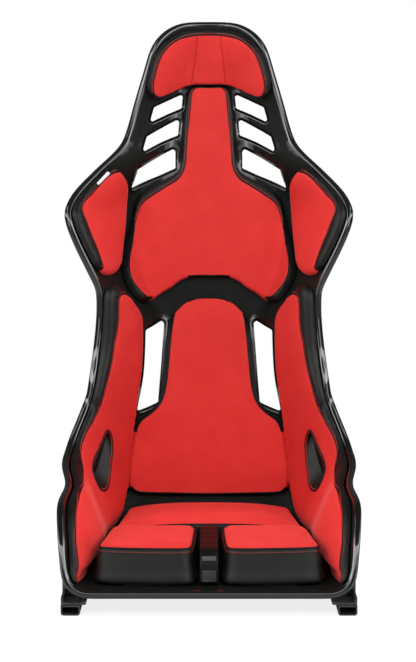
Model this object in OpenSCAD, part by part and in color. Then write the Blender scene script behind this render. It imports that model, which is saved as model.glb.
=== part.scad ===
// Fixed-back racing seat.
// One-piece composite shell with a rolled edge, hook-and-loop pads, seat and thigh cushions,
// belt openings with bezels, and bolted steel side mounts on base rails.
// Millimetres. X runs across, Y runs back from the front edge, Z is up, Z = 0 is the car floor.

/* [Shell] */
// Outer width of the shell across the hips
shell_w = 510; // [450:5:570]
// Length of the flat seat floor, front to back
floor_l = 380; // [350:5:420]
// Inner radius of the bend between the floor and the backrest
bend_r = 110; // [95:5:130]
// Lean of the backrest from the vertical, in degrees
recline = 10; // [5:1:16]
// Length of the straight part of the backrest
back_l = 677; // [640:1:720]
// Radius of the forward curve behind the neck
neck_r = 600; // [450:10:800]
// Length of the straight head part above the neck curve
head_l = 60; // [50:1:80]
// Height of the side walls at the hips, from the backrest to the rim
wing_h = 209; // [195:1:220]
// Drop of the rounded top corners of the head part
crown_drop = 72; // [55:1:85]
// Wall of the shell
shell_t = 4.8; // [3.5:0.1:6]
// Width of the rolled edge, front to back
lip_w = 13; // [10:0.5:16]
// Radius of the front corners of the side walls
front_corner_r = 40; // [25:1:55]

/* [Belt openings] */
// Width of the crotch-belt slot
crotch_slot_w = 28; // [24:1:34]
// Length of the crotch-belt slot
crotch_slot_l = 62; // [50:1:72]
// Middle of the crotch-belt slot, back from the front edge
crotch_slot_y = 135; // [110:1:160]
// Wall of the belt bezels
bezel_t = 2; // [1.5:0.1:3]
// Width of the bezel flanges
bezel_flange = 5; // [4:0.5:8]

/* [Pads] */
// Thickness of the head pad
head_pad_t = 20; // [12:1:26]
// Thickness of the upper back pad
back_pad_t = 20; // [12:1:26]
// Thickness of the lumbar pad
lumbar_pad_t = 22; // [12:1:28]
// Thickness of the shoulder pads
shoulder_pad_t = 20; // [12:1:26]
// Thickness of the side pads in the waist
side_pad_t = 22; // [14:1:28]
// Thickness of the side pads beside the thighs
side_pad_seat_t = 44; // [40:1:50]
// Height of the pad edges
pad_edge_t = 6; // [4:0.5:9]
// Hook-and-loop tape under the pads
tape_t = 2.4; // [1.6:0.1:3.4]
// Side length of a hook-and-loop patch
patch_l = 50; // [35:1:60]

/* [Cushions] */
// Height of the cushion tops above the inside of the shell floor
cushion_h = 69; // [55:1:80]
// Drop of the cushion edges below their crowns
cushion_drop = 10; // [6:1:20]
// Front of the thigh cushions, back from the front edge
thigh_front_y = 26; // [20:1:34]
// Length of the thigh cushions
thigh_l = 214; // [190:1:220]
// Clear width of the channel between the thigh cushions
channel_w = 46; // [40:1:60]
// Gap between neighbouring cushions
cushion_gap = 3; // [1:0.5:6]
// Length of the rear seat cushion
seat_cushion_l = 195; // [170:1:205]
// Thickness of the leather bridge over the channel
bridge_t = 4; // [3:0.5:6]
// Diameter of the piping round the thigh cushions
piping_d = 4; // [3:0.5:5]

/* [Mounts] */
// Distance between the front and rear bolts
bolt_pitch = 290; // [270:1:310]
// Front floor bolts, back from the front edge
floor_bolt_y = 60; // [50:1:80]
// Front shell bolts, back from the front edge
shell_bolt_y = 80; // [70:1:95]
// Height of the shell bolts above the car floor
shell_bolt_z = 80; // [74:1:88]
// Bolt diameter
bolt_d = 8; // [6:1:10]
// Clearance of the bolt holes on the diameter
bolt_clear = 0.6; // [0.3:0.1:1]
// Width of the base rails
rail_w = 32; // [28:1:36]
// Height of the base rails
rail_h = 17; // [14:0.5:20]
// Wall of the base rails
rail_t = 2.5; // [2:0.1:3]
// Width of the adapter flanges on the rails
flange_w = 39; // [36:1:44]
// Length of the base rails
rail_l = 392; // [370:1:410]
// Front of the base rails, back from the front edge
rail_front_y = 4; // [0:1:12]
// Steel thickness of the side adapters
adapter_t = 4; // [3:0.5:5]
// Gap between the adapter flange and the underside of the shell
shell_lift = 15; // [8:1:20]

/* [Hidden] */

// Clearance between parts that touch
fit = 0.3;
// Clearance of curved pads and tapes
pad_fit = 0.6;
// Tiny overlap where solids of one part join or a cut runs past a face
eps = 0.5;

// The shell follows a pattern drawn for a 510 mm wide shell: s runs from the front edge along
// the middle of the floor, round the bend and up the back, and l runs across from the middle.
// Width and wall height of the pattern, and where its floor, bend, back, neck and head end
PATTERN = [510, 209];
PATTERN_ENDS = [380, 534, 1211, 1358, 1418];
wide = shell_w / PATTERN[0];
high = wing_h / PATTERN[1];
floor_s = PATTERN_ENDS[0];
bend_s = PATTERN_ENDS[1];
back_s = PATTERN_ENDS[2];
neck_s = PATTERN_ENDS[3];
top_s = PATTERN_ENDS[4];
// Turn of the neck curve
neck_turn = 14;
back_angle = 90 - recline;
head_angle = back_angle + neck_turn;
// Inner face of the floor: rail, adapter flange, lift and shell wall are stacked under it
flange_top = rail_h + adapter_t;
floor_z = flange_top + shell_lift + shell_t + 1.2;

// Rim of the shell: s, half width, and its place along and above a frame that turns with the spine
RIM = [[0, 241, 30, 108], [60, 242, 15, 134], [180, 237, 0, 148], [290, 250, -15, 165],
    [360, 250, -38, 180], [430, 243, 4, 208], [480, 231, 56, 209], [534, 217, 112, 178],
    [600, 208, 129, 144], [680, 202, 111, 135], [830, 198, 55, 148], [880, 208, 35, 155], [980, 238, -4, 168],
    [1040, 252, -28, 172], [1075, 254, -40, 168], [1110, 239, -40, 148], [1150, 204, -31, 110],
    [1190, 160, -15, 67], [1220, 147, -9, 59], [1260, 136, -5, 55], [1340, 112, 2, 49],
    [1418, 91, 4, 44]];
// Side walls: s, slope in degrees, radius between the flat middle and the wall
WALL = [[0, 84, 30], [200, 82, 32], [400, 74, 40], [534, 73, 44], [600, 72, 44], [655, 66, 46],
    [715, 57, 52], [790, 54, 58], [850, 55, 56], [885, 61, 48], [920, 63, 44], [1000, 61, 44],
    [1090, 58, 48], [1190, 36, 90], [1260, 34, 80], [1418, 34, 60]];
// Roundness of the head outline
crown_power = 2.5;
// Section of the rolled edge: outward past the edge of the pattern, and towards the sitter
LIP = [[-4.5, -0.2], [-2, -1], [0, -3.2], [0.8, -6], [0.8, 2 - lip_w], [-1.5, -lip_w],
    [-3.8, 2 - lip_w], [-4.2, -shell_t - 1.8]];
// The rolled edge starts this far inside the edge of the pattern
lip_start = 8;

// Smooth curve through a list of keys, each [place, value, ...]
function key_before(keys, s, i = 0) =
    i >= len(keys) - 2 || s < keys[i + 1][0] ? i : key_before(keys, s, i + 1);
function key_slope(keys, i) = let (a = max(i - 1, 0), b = min(i + 1, len(keys) - 1))
    (keys[b] - keys[a]) / (keys[b][0] - keys[a][0]);
function at(keys, s) = let (
        i = key_before(keys, s),
        span = keys[i + 1][0] - keys[i][0],
        t = max(0, min(1, (s - keys[i][0]) / span)),
        t2 = t * t, t3 = t2 * t)
    (2 * t3 - 3 * t2 + 1) * keys[i] + (t3 - 2 * t2 + t) * span * key_slope(keys, i)
    + (3 * t2 - 2 * t3) * keys[i + 1] + (t3 - t2) * span * key_slope(keys, i + 1);
function mix(a, b, t) = a + (b - a) * t;

// Middle line of the shell's inner face: y, z and direction
function along(start, angle, run) = [start[0] + run * cos(angle), start[1] + run * sin(angle), angle];
function bend_point(a) = [floor_l + bend_r * sin(a), floor_z + bend_r * (1 - cos(a)), a];
function neck_point(start, a) = [start[0] + neck_r * (sin(a) - sin(back_angle)),
    start[1] + neck_r * (cos(back_angle) - cos(a)), a];
bend_end = bend_point(back_angle);
back_end = along(bend_end, back_angle, back_l);
neck_end = neck_point(back_end, head_angle);
function spine(s) =
    s <= floor_s ? [s / floor_s * floor_l, floor_z, 0]
    : s <= bend_s ? bend_point((s - floor_s) / (bend_s - floor_s) * back_angle)
    : s <= back_s ? along(bend_end, back_angle, (s - bend_s) / (back_s - bend_s) * back_l)
    : s <= neck_s ? neck_point(back_end, back_angle + (s - back_s) / (neck_s - back_s) * neck_turn)
    : along(neck_end, head_angle, (s - neck_s) / (top_s - neck_s) * head_l);
// The frame of the rim turns more gently than the spine, so that the side walls do not fold
function ease(t) = let (u = max(0, min(1, t))) u * u * (3 - 2 * u);
function frame_angle(s) = back_angle * ease((s - 320) / 300) + neck_turn * ease((s - 1180) / 210);

// Cross-section at s: flat middle, round corner, straight wall up to the rim
function section(s) = let (
        c = spine(s), rim = at(RIM, s), wall = at(WALL, s), a = frame_angle(s),
        dy = (rim[2] * cos(a) - rim[3] * sin(a)) * high,
        dz = (rim[2] * sin(a) + rim[3] * cos(a)) * high,
        height = norm([dy, dz]),
        corner_x = rim[1] * wide - height / tan(wall[1]),
        corner_r = wall[2] * high,
        tangent = corner_r * tan(wall[1] / 2))
    [c[0], c[1], dy / height, dz / height, corner_x - tangent, corner_r, wall[1],
        corner_r * wall[1] * PI / 180, height / sin(wall[1]) - tangent];
function half_length(s) = let (k = section(s)) k[4] + k[7] + k[8];
function in_section(k, l) = let (
        m = abs(l), side = l < 0 ? -1 : 1,
        turn = m <= k[4] ? 0 : min((m - k[4]) / k[5] * 180 / PI, k[6]),
        run = max(0, m - k[4] - k[7]),
        x = min(m, k[4]) + k[5] * sin(turn) + run * cos(k[6]),
        h = k[5] * (1 - cos(turn)) + run * sin(k[6]))
    [side * x, k[0] + h * k[2], k[1] + h * k[3]];
function surf(l, s) = in_section(section(s), l);
function unit(v) = v / norm(v);
function normal(l, s) = unit(cross(surf(l + 1, s) - surf(l - 1, s), surf(l, s + 1) - surf(l, s - 1)));
function lifted(l, s, h) = surf(l, s) + h * normal(l, s);

// The object is centred front to back
middle_y = (max(max([for (s = [bend_s:30:top_s]) lifted(0, s, -shell_t)[1]]),
    lifted(0, top_s - 2, -lip_w)[1]) - 0.8) / 2;
module place() { translate([0, -middle_y, 0]) children(); }

// Outline of the shell in the pattern, q = -1..1 from rim to rim
function front_edge(q) = let (m = half_length(20),
        u = max(0, abs(q) * m - m + front_corner_r) / front_corner_r)
    front_corner_r * (1 - sqrt(max(0, 1 - u * u)));
function top_edge(q) = top_s - crown_drop * (1 - pow(max(0, 1 - pow(abs(q), crown_power)), 1 / crown_power));

// Index list round the edge of a grid, anticlockwise
function grid_edge(rows, cols) = concat([for (j = [0:cols - 1]) j],
    [for (i = [1:rows - 1]) i * cols + cols - 1],
    [for (j = [cols - 2:-1:0]) (rows - 1) * cols + j],
    [for (i = [rows - 2:-1:1]) i * cols]);

// Closed solid between two grids of points with the same rows and columns;
// rings of points may lead round the edge from the top grid to the bottom grid
module grid_solid(top, bottom, rings = []) {
    rows = len(top);
    cols = len(top[0]);
    n = rows * cols;
    edge = grid_edge(rows, cols);
    m = len(edge);
    levels = concat([edge], [for (k = [0:1:len(rings) - 1]) [for (i = [0:m - 1]) 2 * n + k * m + i]],
        [[for (e = edge) n + e]]);
    quads = [for (i = [0:rows - 2], j = [0:cols - 2])
        let (a = i * cols + j) [a, a + 1, a + cols + 1, a + cols]];
    faces = concat(
        [for (f = quads) each [[f[0], f[2], f[1]], [f[0], f[3], f[2]]]],
        [for (f = quads) each [[n + f[0], n + f[1], n + f[2]], [n + f[0], n + f[2], n + f[3]]]],
        [for (k = [0:len(levels) - 2], i = [0:m - 1])
            let (a = levels[k], b = levels[k + 1], h = (i + 1) % m)
            each [[a[i], a[h], b[h]], [a[i], b[h], b[i]]]]);
    polyhedron([for (g = concat([for (r = top) r], [for (r = bottom) r], rings)) each g], faces);
}

// Closed tube through rings of points
module ring_solid(rings) {
    m = len(rings);
    c = len(rings[0]);
    walls = [for (i = [0:m - 2], j = [0:c - 1]) let (
            a = i * c + j, b = i * c + (j + 1) % c, d = a + c, e = b + c)
        each [[a, b, e], [a, e, d]]];
    caps = [[for (j = [c - 1:-1:0]) j], [for (j = [0:c - 1]) (m - 1) * c + j]];
    polyhedron([for (r = rings) each r], concat(walls, caps));
}

// Cut through the shell: a rounded outline whose corner centres are given in the pattern
module shell_window(corners, side, r, reach = 40) {
    middle = [for (i = [0, 1]) [for (c = corners) c[i]] * [for (c = corners) 1] / len(corners)];
    l0 = side * middle[0] * wide;
    s0 = middle[1];
    base = surf(l0, s0);
    n = normal(l0, s0);
    ax = unit(surf(l0 + 1, s0) - surf(l0 - 1, s0));
    ay = cross(n, ax);
    multmatrix([[ax[0], ay[0], n[0], base[0]], [ax[1], ay[1], n[1], base[1]],
            [ax[2], ay[2], n[2], base[2]], [0, 0, 0, 1]])
        hull() for (c = corners) {
            v = surf(side * c[0] * wide, c[1]) - base;
            translate([v * ax, v * ay, -reach]) cylinder(r = r, h = 2 * reach, $fn = 20);
        }
}

// Corner centres of the windows: pattern l and s
HARNESS_WINDOWS = [
    [[59, 1270], [61, 1263], [109, 1241], [105, 1249]],
    [[62, 1224], [63, 1211], [129, 1185], [124, 1198]],
    [[70, 1165], [73, 1144], [143, 1112], [140, 1138]]];
harness_window_r = 6.5;
WAIST_WINDOW = [[93, 831], [134, 801], [138, 662], [135, 662], [103, 692]];
waist_window_r = 7;
LAP_WINDOW = [[298, 512], [284, 508], [271, 443], [282, 418], [308, 406], [325, 419], [315, 492]];
lap_window_r = 9;

// Rows of the shell surface up the pattern and columns across it, closer where it curves
SHELL_ROWS = [0, 14, 50, 95, 145, 200, 250, 295, 335, 365, 390, 415, 440, 465, 490, 515, 542, 570,
    600, 632, 666, 705, 750, 795, 830, 852, 872, 892, 915, 942, 972, 1003, 1032, 1056, 1078, 1100,
    1120, 1142, 1166, 1190, 1220, 1255, 1295, 1335, 1376, 1418];
// Columns on each half of the flat middle, of the round corner and of the wall
flat_cols = 4;
corner_cols = 4;
wall_cols = 5;
shell_cols = flat_cols + corner_cols + wall_cols;
// Place of a column across a section, kept back from the rim
function column_l(k, j, back) = let (
        m = abs(j), t = max(0, m - flat_cols - corner_cols) / wall_cols)
    sign(j) * (k[4] * min(m / flat_cols, 1) + k[7] * max(0, min((m - flat_cols) / corner_cols, 1))
        + (k[8] - back) * (1 - pow(1 - t, 1.3)));
// Point of the pattern in a row and a column
function pattern_point(row, j, back) = let (
        q = column_l(section(row), j, 0) / half_length(row),
        s = mix(front_edge(q) + back, top_edge(q) - back, row / top_s))
    [column_l(section(s), j, back), s];

module shell_skin() {
    cols = [-shell_cols:shell_cols];
    grid = [for (row = SHELL_ROWS) [for (j = cols) pattern_point(row, j, lip_start)]];
    rim = [for (row = SHELL_ROWS, j = cols) pattern_point(row, j, 0)];
    edge = [for (e = grid_edge(len(SHELL_ROWS), 2 * shell_cols + 1)) rim[e]];
    pts = [for (p = edge) surf(p[0], p[1])];
    m = len(edge);
    ups = [for (p = edge) normal(p[0] * 0.999, max(2, min(p[1], top_s - 2)))];
    outs = [for (i = [0:m - 1]) unit(cross(pts[(i + 1) % m] - pts[(i + m - 1) % m], ups[i]))];
    grid_solid([for (r = grid) [for (p = r) surf(p[0], p[1])]],
        [for (r = grid) [for (p = r) lifted(p[0], p[1], -shell_t)]],
        [for (v = LIP) [for (i = [0:m - 1]) pts[i] + v[0] * outs[i] + v[1] * ups[i]]]);
}

// Shell bolts sit in bosses that bring the curved wall out to the adapter plates
plate_x = shell_w / 2 - 14;
boss_r = 12;
insert_r = 7;
insert_l = 7.5;
bolt_ys = [shell_bolt_y, shell_bolt_y + bolt_pitch];
// Pattern row whose wall passes through y at the height of the shell bolts, found step by step
function rise(k) = (shell_bolt_z - k[1]) / k[3];
function wall_row(y, s, steps = 12) = steps == 0 ? s
    : let (k = section(s)) wall_row(y, s + 0.7 * (y - k[0] - rise(k) * k[2]), steps - 1);
// Where the shell's inner face stands beside a bolt
function wall_x(y) = let (k = section(wall_row(y, y)))
    k[4] + k[5] * tan(k[6] / 2) + rise(k) / tan(k[6]);

module at_shell_bolts(side) {
    for (y = bolt_ys) translate([side * plate_x, y, shell_bolt_z]) rotate([0, -90 * side, 0]) children();
}

module bosses(side) {
    for (y = bolt_ys) {
        start = wall_x(y) + 1.8;
        translate([side * start, y, shell_bolt_z]) rotate([0, 90 * side, 0])
            cylinder(r = boss_r, h = plate_x - fit - start, $fn = 24);
    }
}

module crotch_cut(grow) {
    translate([0, crotch_slot_y, floor_z - 20]) linear_extrude(40)
        offset(r = 6) square([crotch_slot_w + 2 * grow - 12, crotch_slot_l + 2 * grow - 12], center = true);
}

module shell() {
    color([0.05, 0.05, 0.05]) resize([0, 0, 0]) difference() {
        union() {
            shell_skin();
            for (side = [-1, 1]) bosses(side);
        }
        for (side = [-1, 1]) {
            for (w = HARNESS_WINDOWS) shell_window(w, side, harness_window_r);
            shell_window(WAIST_WINDOW, side, waist_window_r);
            shell_window(LAP_WINDOW, side, lap_window_r);
            at_shell_bolts(side) translate([0, 0, -1]) cylinder(r = insert_r + fit / 2, h = insert_l + 1, $fn = 24);
        }
        crotch_cut(0);
    }
}

/* ---- pads ---- */
// Rounded rise from an edge to the middle of a pad, u = -1..1
function dome(u, power = 4) = pow(max(0, 1 - pow(abs(u), power)), 1 / power);
// Places across a pad, closer together at its edges
function spread(n) = [for (i = [0:n]) sin(90 * (2 * i / n - 1))];
pad_gap = tape_t + 2 * pad_fit;

// Pad on both sides of the middle: its lower and upper edges are given over |u|,
// its half width over s, and its thickness t
module middle_pad(lower, upper, half, t, us, vs, pleat_u = 9, pleat = 0) {
    grid = [for (v = vs) [for (u = us) let (
            s = mix(at(lower, abs(u))[1], at(upper, abs(u))[1], (v + 1) / 2),
            groove = pleat * exp(-pow((abs(u) - pleat_u) / 0.03, 2)))
        [u * at(half, s)[1] * wide, s, pad_edge_t + (t - pad_edge_t) * dome(u) * dome(v) - groove]]];
    grid_solid([for (r = grid) [for (p = r) lifted(p[0], p[1], pad_gap + p[2])]],
        [for (r = grid) [for (p = r) lifted(p[0], p[1], pad_gap)]]);
}

// Pad on one side: inner edge over s, distance from the rim over s,
// thickness near the inner and the outer edge over s
function across_pad(inner, rim_gap, s, w) =
    mix(at(inner, s)[1] * wide, half_length(s) - at(rim_gap, s)[1] * wide, w);
function wall_pad_t(thick, s, w, v) = let (t = at(thick, s))
    pad_edge_t + (mix(t[1], t[2], w) - pad_edge_t) * dome(2 * w - 1) * dome(v, 8);
module wall_pad(side, inner, rim_gap, thick, us, vs) {
    s0 = inner[0][0];
    s1 = inner[len(inner) - 1][0];
    grid = [for (v = vs) let (s = mix(s0, s1, (v + 1) / 2)) [for (u = us) let (w = (side * u + 1) / 2)
            [side * across_pad(inner, rim_gap, s, w), s, wall_pad_t(thick, s, w, v)]]];
    grid_solid([for (r = grid) [for (p = r) lifted(p[0], p[1], pad_gap + p[2])]],
        [for (r = grid) [for (p = r) lifted(p[0], p[1], pad_gap)]]);
}

suede = [0.85, 0.2, 0.2];
leather = [0.12, 0.12, 0.12];

module head_pad() {
    pleat_u = 0.26;
    us = [-1, -0.98, -0.9, -0.75, -0.55, -0.38, -0.29, -0.26, -0.23, -0.1, 0.1, 0.23, 0.26, 0.29,
        0.38, 0.55, 0.75, 0.9, 0.98, 1];
    color(suede) middle_pad(
        lower = [[0, 1297], [0.3, 1298], [0.68, 1283], [0.84, 1273], [0.94, 1277], [1, 1292]],
        upper = [[0, 1402], [0.45, 1401], [0.8, 1390], [0.95, 1374], [1, 1352]],
        half = [[1270, 134], [1296, 134], [1316, 131], [1347, 121], [1365, 109], [1381, 97], [1402, 86]],
        t = head_pad_t, us = us, vs = spread(8), pleat_u = pleat_u, pleat = 3);
}

module upper_back_pad() {
    color(suede) middle_pad(
        lower = [[0, 926], [0.18, 925], [0.35, 910], [0.48, 895], [0.7, 867], [0.85, 869], [0.95, 883], [1, 903]],
        upper = [[0, 1293], [0.8, 1292], [1, 1286]],
        half = [[903, 186], [930, 187], [967, 177], [1001, 167], [1040, 157], [1075, 150], [1099, 136],
            [1114, 112], [1127, 82], [1140, 64], [1160, 60], [1206, 59], [1250, 54], [1293, 48]],
        t = back_pad_t, us = spread(14), vs = spread(20));
}

module lumbar_pad() {
    color(suede) middle_pad(
        lower = [[0, 517], [0.6, 518], [0.85, 523], [0.95, 531], [1, 545]],
        upper = [[0, 885], [0.5, 881], [0.85, 866], [1, 848]],
        half = [[516, 164], [535, 169], [554, 169], [582, 162], [607, 158], [625, 155], [645, 141], [666, 115],
            [683, 98], [700, 90], [726, 86], [770, 80], [816, 76], [848, 70], [885, 60]],
        t = lumbar_pad_t, us = spread(12), vs = spread(16));
}

SHOULDER_INNER = [[892, 266], [900, 246], [920, 223], [943, 206], [963, 199], [1000, 188], [1033, 178],
    [1068, 174], [1110, 182], [1127, 193], [1142, 212], [1150, 222]];
SHOULDER_GAP = [[892, 26], [905, 13], [925, 8], [1125, 8], [1142, 16], [1150, 26]];
SHOULDER_T = [[892, shoulder_pad_t, shoulder_pad_t], [1150, shoulder_pad_t, shoulder_pad_t]];
module shoulder_pad(side) {
    color(suede) wall_pad(side, SHOULDER_INNER, SHOULDER_GAP, SHOULDER_T, spread(8), spread(12));
}

module side_pad_blank(side) {
    wall_pad(side,
        inner = [[12, 240], [60, 238], [200, 236], [330, 228], [400, 206], [450, 187], [489, 178],
            [508, 176], [534, 176], [560, 175], [582, 170], [607, 166], [694, 163], [802, 161], [818, 163],
            [832, 172], [843, 190], [852, 210], [862, 232]],
        rim_gap = [[12, 84], [25, 56], [42, 28], [70, 12], [120, 8], [800, 8], [835, 12], [852, 22], [862, 34]],
        thick = [[12, side_pad_seat_t * 0.41, side_pad_t * 0.55], [40, side_pad_seat_t * 0.7, side_pad_t * 0.73],
            [100, side_pad_seat_t * 0.89, side_pad_t * 0.91], [240, side_pad_seat_t, side_pad_t],
            [400, side_pad_seat_t * 0.86, side_pad_t], [450, side_pad_t * 1.45, side_pad_t],
            [600, side_pad_t * 1.09, side_pad_t], [862, side_pad_t * 0.82, side_pad_t * 0.82]],
        us = spread(8), vs = spread(30));
}

// Clearance of the lap-belt bezel in its pad
module side_pad(side) {
    color(suede) resize([0, 0, 0]) difference() {
        side_pad_blank(side);
        shell_window(LAP_WINDOW, side, lap_window_r + fit, 90);
    }
}

/* ---- cushions ---- */
cushion_bottom = floor_z + pad_gap;
cushion_top = floor_z + cushion_h;
seat_front_y = thigh_front_y + thigh_l + cushion_gap;
// The side pads and the cushions meet along this line: half width over the place on the floor
CUSHION_SIDE = [[0, 208], [30, 205], [60, 200], [150, 188], [240, 179], [440, 151]];
cushion_side = [for (k = CUSHION_SIDE) [k[0] / floor_s * floor_l, k[1] * wide]];
function side_x(y) = at(cushion_side, y)[1];
// Underside of a cushion, which follows the bend of the shell
function under_z(y) = y <= floor_l ? cushion_bottom
    : floor_z + bend_r - sqrt(max(1, pow(bend_r - pad_gap, 2) - pow(y - floor_l, 2)));

// Crowned cushion between two side lines, each x over y
module crowned_cushion(y0, y1, xa, xb, us, vs) {
    pull = 3;
    grid = [for (v = vs) [for (u = us) let (
            y = mix(y0, y1, (v + 1) / 2),
            a = at(xa, y)[1], b = at(xb, y)[1],
            draw_in = pull * (1 - v * v) * u)
        [mix(a, b, (u + 1) / 2) - draw_in, y, dome(u, 5) * dome(v, 5)]]];
    grid_solid([for (r = grid) [for (p = r) [p[0], p[1], cushion_top - cushion_drop * (1 - p[2])]]],
        [for (r = grid) [for (p = r) [p[0], p[1], under_z(p[1])]]]);
}

module seat_cushion() {
    side_keys = [for (k = cushion_side) [k[0], k[1] - 1]];
    color(suede) crowned_cushion(seat_front_y, seat_front_y + seat_cushion_l,
        [for (k = side_keys) [k[0], -k[1]]], side_keys, spread(14), spread(8));
}

module thigh_cushion(side) {
    outer = [for (k = cushion_side) [k[0], side * (k[1] - 1)]];
    inner = [[0, side * channel_w / 2], [thigh_front_y + thigh_l, side * (channel_w / 2 - 4)]];
    color(suede) crowned_cushion(thigh_front_y, thigh_front_y + thigh_l,
        side > 0 ? inner : outer, side > 0 ? outer : inner, spread(10), spread(10));
}

// Piping along the front top edge of a thigh cushion
module thigh_piping(side) {
    r = piping_d / 2;
    z = cushion_top - cushion_drop - r / 2;
    y = thigh_front_y - r - fit;
    x_in = channel_w / 2 + 12;
    x_out = side_x(thigh_front_y) - 14;
    steps = 8;
    rings = [for (i = [0:steps]) let (x = mix(x_in, x_out, i / steps))
        [for (a = [0:60:300]) [side * x, y + r * cos(a), z - r * sin(a) * side]]];
    color(leather) ring_solid(rings);
}

// Leather bridge over the channel: level run, round front, upright, and a foot on the tape
bridge_w = channel_w - 9;
bridge_front_y = 34;
bridge_r = 26;
bridge_rear_y = seat_front_y - fit;
bridge_leg = 20;
bridge_top = cushion_top - 8;
bridge_foot_l = 44;
function arc_points(cy, cz, r, a0, a1, n = 8) = [for (i = [0:n]) let (a = mix(a0, a1, i / n))
    [cy + r * cos(a), cz + r * sin(a)]];
module centre_bridge() {
    inner_r = bridge_r - bridge_t;
    cy = bridge_front_y + bridge_r;
    cz = bridge_top - bridge_r;
    color(leather) translate([-bridge_w / 2, 0, 0]) rotate([90, 0, 90]) linear_extrude(bridge_w)
        polygon(concat([[bridge_rear_y - cushion_gap + fit, bridge_top - bridge_leg],
                [bridge_rear_y, bridge_top - bridge_leg], [bridge_rear_y, bridge_top]],
            arc_points(cy, cz, bridge_r, 90, 180),
            [[bridge_front_y, cushion_bottom], [bridge_front_y + bridge_foot_l, cushion_bottom],
                [bridge_front_y + bridge_foot_l, cushion_bottom + bridge_t],
                [bridge_front_y + bridge_t, cushion_bottom + bridge_t]],
            arc_points(cy, cz, inner_r, 180, 90),
            [[bridge_rear_y - cushion_gap + fit, bridge_top - bridge_t]]));
}

module bridge_keeper_bar() {
    bar = [23, 3, 8];
    color("gray") translate([-bar[0] / 2, bridge_front_y - fit - bar[1], cushion_bottom + 36])
        cube(bar);
}

module bridge_ribbed_catch() {
    plate = [22, 2.5, 20];
    rib_h = 1.6;
    rib_pitch = 4.5;
    color("dimgray") translate([-plate[0] / 2, bridge_front_y - fit - plate[1], cushion_bottom + 4]) {
        cube(plate);
        for (i = [0:3]) translate([0, -rib_h, 2 + i * rib_pitch]) cube([plate[0], rib_h + eps, 2]);
    }
}

/* ---- belt bezels ---- */
module lap_belt_bezel(side) {
    color([0.1, 0.1, 0.1]) resize([0, 0, 0]) intersection() {
        difference() {
            shell_window(LAP_WINDOW, side, lap_window_r - fit, 90);
            shell_window(LAP_WINDOW, side, lap_window_r - fit - bezel_t, 95);
        }
        lap_sleeve_space(side);
    }
}

// Space between the outer face of the shell and the face of the side pad
module lap_sleeve_space(side) {
    inner = 230;
    outer = 368;
    rows = [for (s = [375:20:555]) [for (u = [0:0.25:1])
        let (l = side > 0 ? mix(inner, outer, u) : -mix(outer, inner, u)) [l * wide, s]]];
    grid_solid([for (r = rows) [for (p = r) lifted(p[0], p[1], pad_gap + side_pad_t + 2)]],
        [for (r = rows) [for (p = r) lifted(p[0], p[1], -shell_t - 3)]]);
}

module slot_outline(grow) {
    w = crotch_slot_w + 2 * grow;
    l = crotch_slot_l + 2 * grow;
    r = 6 + grow;
    square([w - 2 * r, l], center = true);
    square([w, l - 2 * r], center = true);
    for (i = [-1, 1], j = [-1, 1]) translate([i * (w / 2 - r), j * (l / 2 - r)]) circle(r = r, $fn = 24);
}

module crotch_belt_bezel() {
    top = floor_z + fit;
    color([0.1, 0.1, 0.1]) translate([0, crotch_slot_y, 0]) difference() {
        union() {
            translate([0, 0, top]) linear_extrude(bezel_t) slot_outline(bezel_flange);
            translate([0, 0, top - shell_t - 3]) linear_extrude(shell_t + 3 + eps) slot_outline(-fit);
        }
        translate([0, 0, top - shell_t - 4]) linear_extrude(shell_t + 20) slot_outline(-fit - bezel_t);
    }
}

/* ---- hook-and-loop patches ---- */
module patch(l, s, w = 1, h = 1) {
    rows = [for (v = [-1:0.5:1]) [for (u = [-1, 0, 1]) [l * wide + u * w * patch_l / 2, s + v * h * patch_l / 2]]];
    grid_solid([for (r = rows) [for (p = r) lifted(p[0], p[1], pad_fit + tape_t)]],
        [for (r = rows) [for (p = r) lifted(p[0], p[1], pad_fit)]]);
}

module hook_patches_back() {
    color("black") {
        patch(0, 1345);
        patch(0, 1235, 0.8);
        for (x = [-78, 78]) patch(x, 1010, 1.2, 1.8);
        patch(0, 800, 1.2, 1.8);
        for (x = [-60, 60]) patch(x, 585, 1.2);
    }
}

module hook_patches_sides() {
    color("black") for (side = [-1, 1]) {
        patch(side * 255, 1045);
        patch(side * 235, 760, 0.8, 1.8);
        patch(side * 270, 610);
        patch(side * 290, 240, 1, 1.8);
        patch(side * 285, 110);
    }
}

module hook_patches_seat() {
    color("black") {
        for (x = [-95, 95]) {
            patch(x, 60, 1.8, 0.8);
            patch(x, 200, 1.8, 0.8);
            patch(x, 300, 1.8, 1.2);
        }
        patch(0, (bridge_front_y + bridge_foot_l / 2) / floor_l * floor_s, 0.6, 0.6);
    }
}

// Plain fabric tag on the left shoulder pad, along the edge of its suede face
TAG = [[285, 1118], [246, 1138]];
tag_w = 4;
module shoulder_tag() {
    s0 = SHOULDER_INNER[0][0];
    s1 = SHOULDER_INNER[len(SHOULDER_INNER) - 1][0];
    rows = [for (k = [0:0.25:1]) let (p = mix(TAG[0], TAG[1], k)) [for (u = [0, 1]) let (
            l = p[0] * wide - tag_w * u, s = p[1] - tag_w * u,
            a = across_pad(SHOULDER_INNER, SHOULDER_GAP, s, 0), b = across_pad(SHOULDER_INNER, SHOULDER_GAP, s, 1))
        [-l, s, pad_gap + fit + wall_pad_t(SHOULDER_T, s, (l - a) / (b - a), 2 * (s - s0) / (s1 - s0) - 1)]]];
    flip = [for (r = rows) [r[0], r[1]]];
    color("white") grid_solid([for (r = flip) [for (p = r) lifted(p[0], p[1], p[2] + 1)]],
        [for (r = flip) [for (p = r) lifted(p[0], p[1], p[2])]]);
}

/* ---- mounts ---- */
steel = [0.25, 0.25, 0.26];
rail_x = plate_x + adapter_t - rail_w / 2;
floor_bolt_ys = [floor_bolt_y, floor_bolt_y + bolt_pitch];
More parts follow.
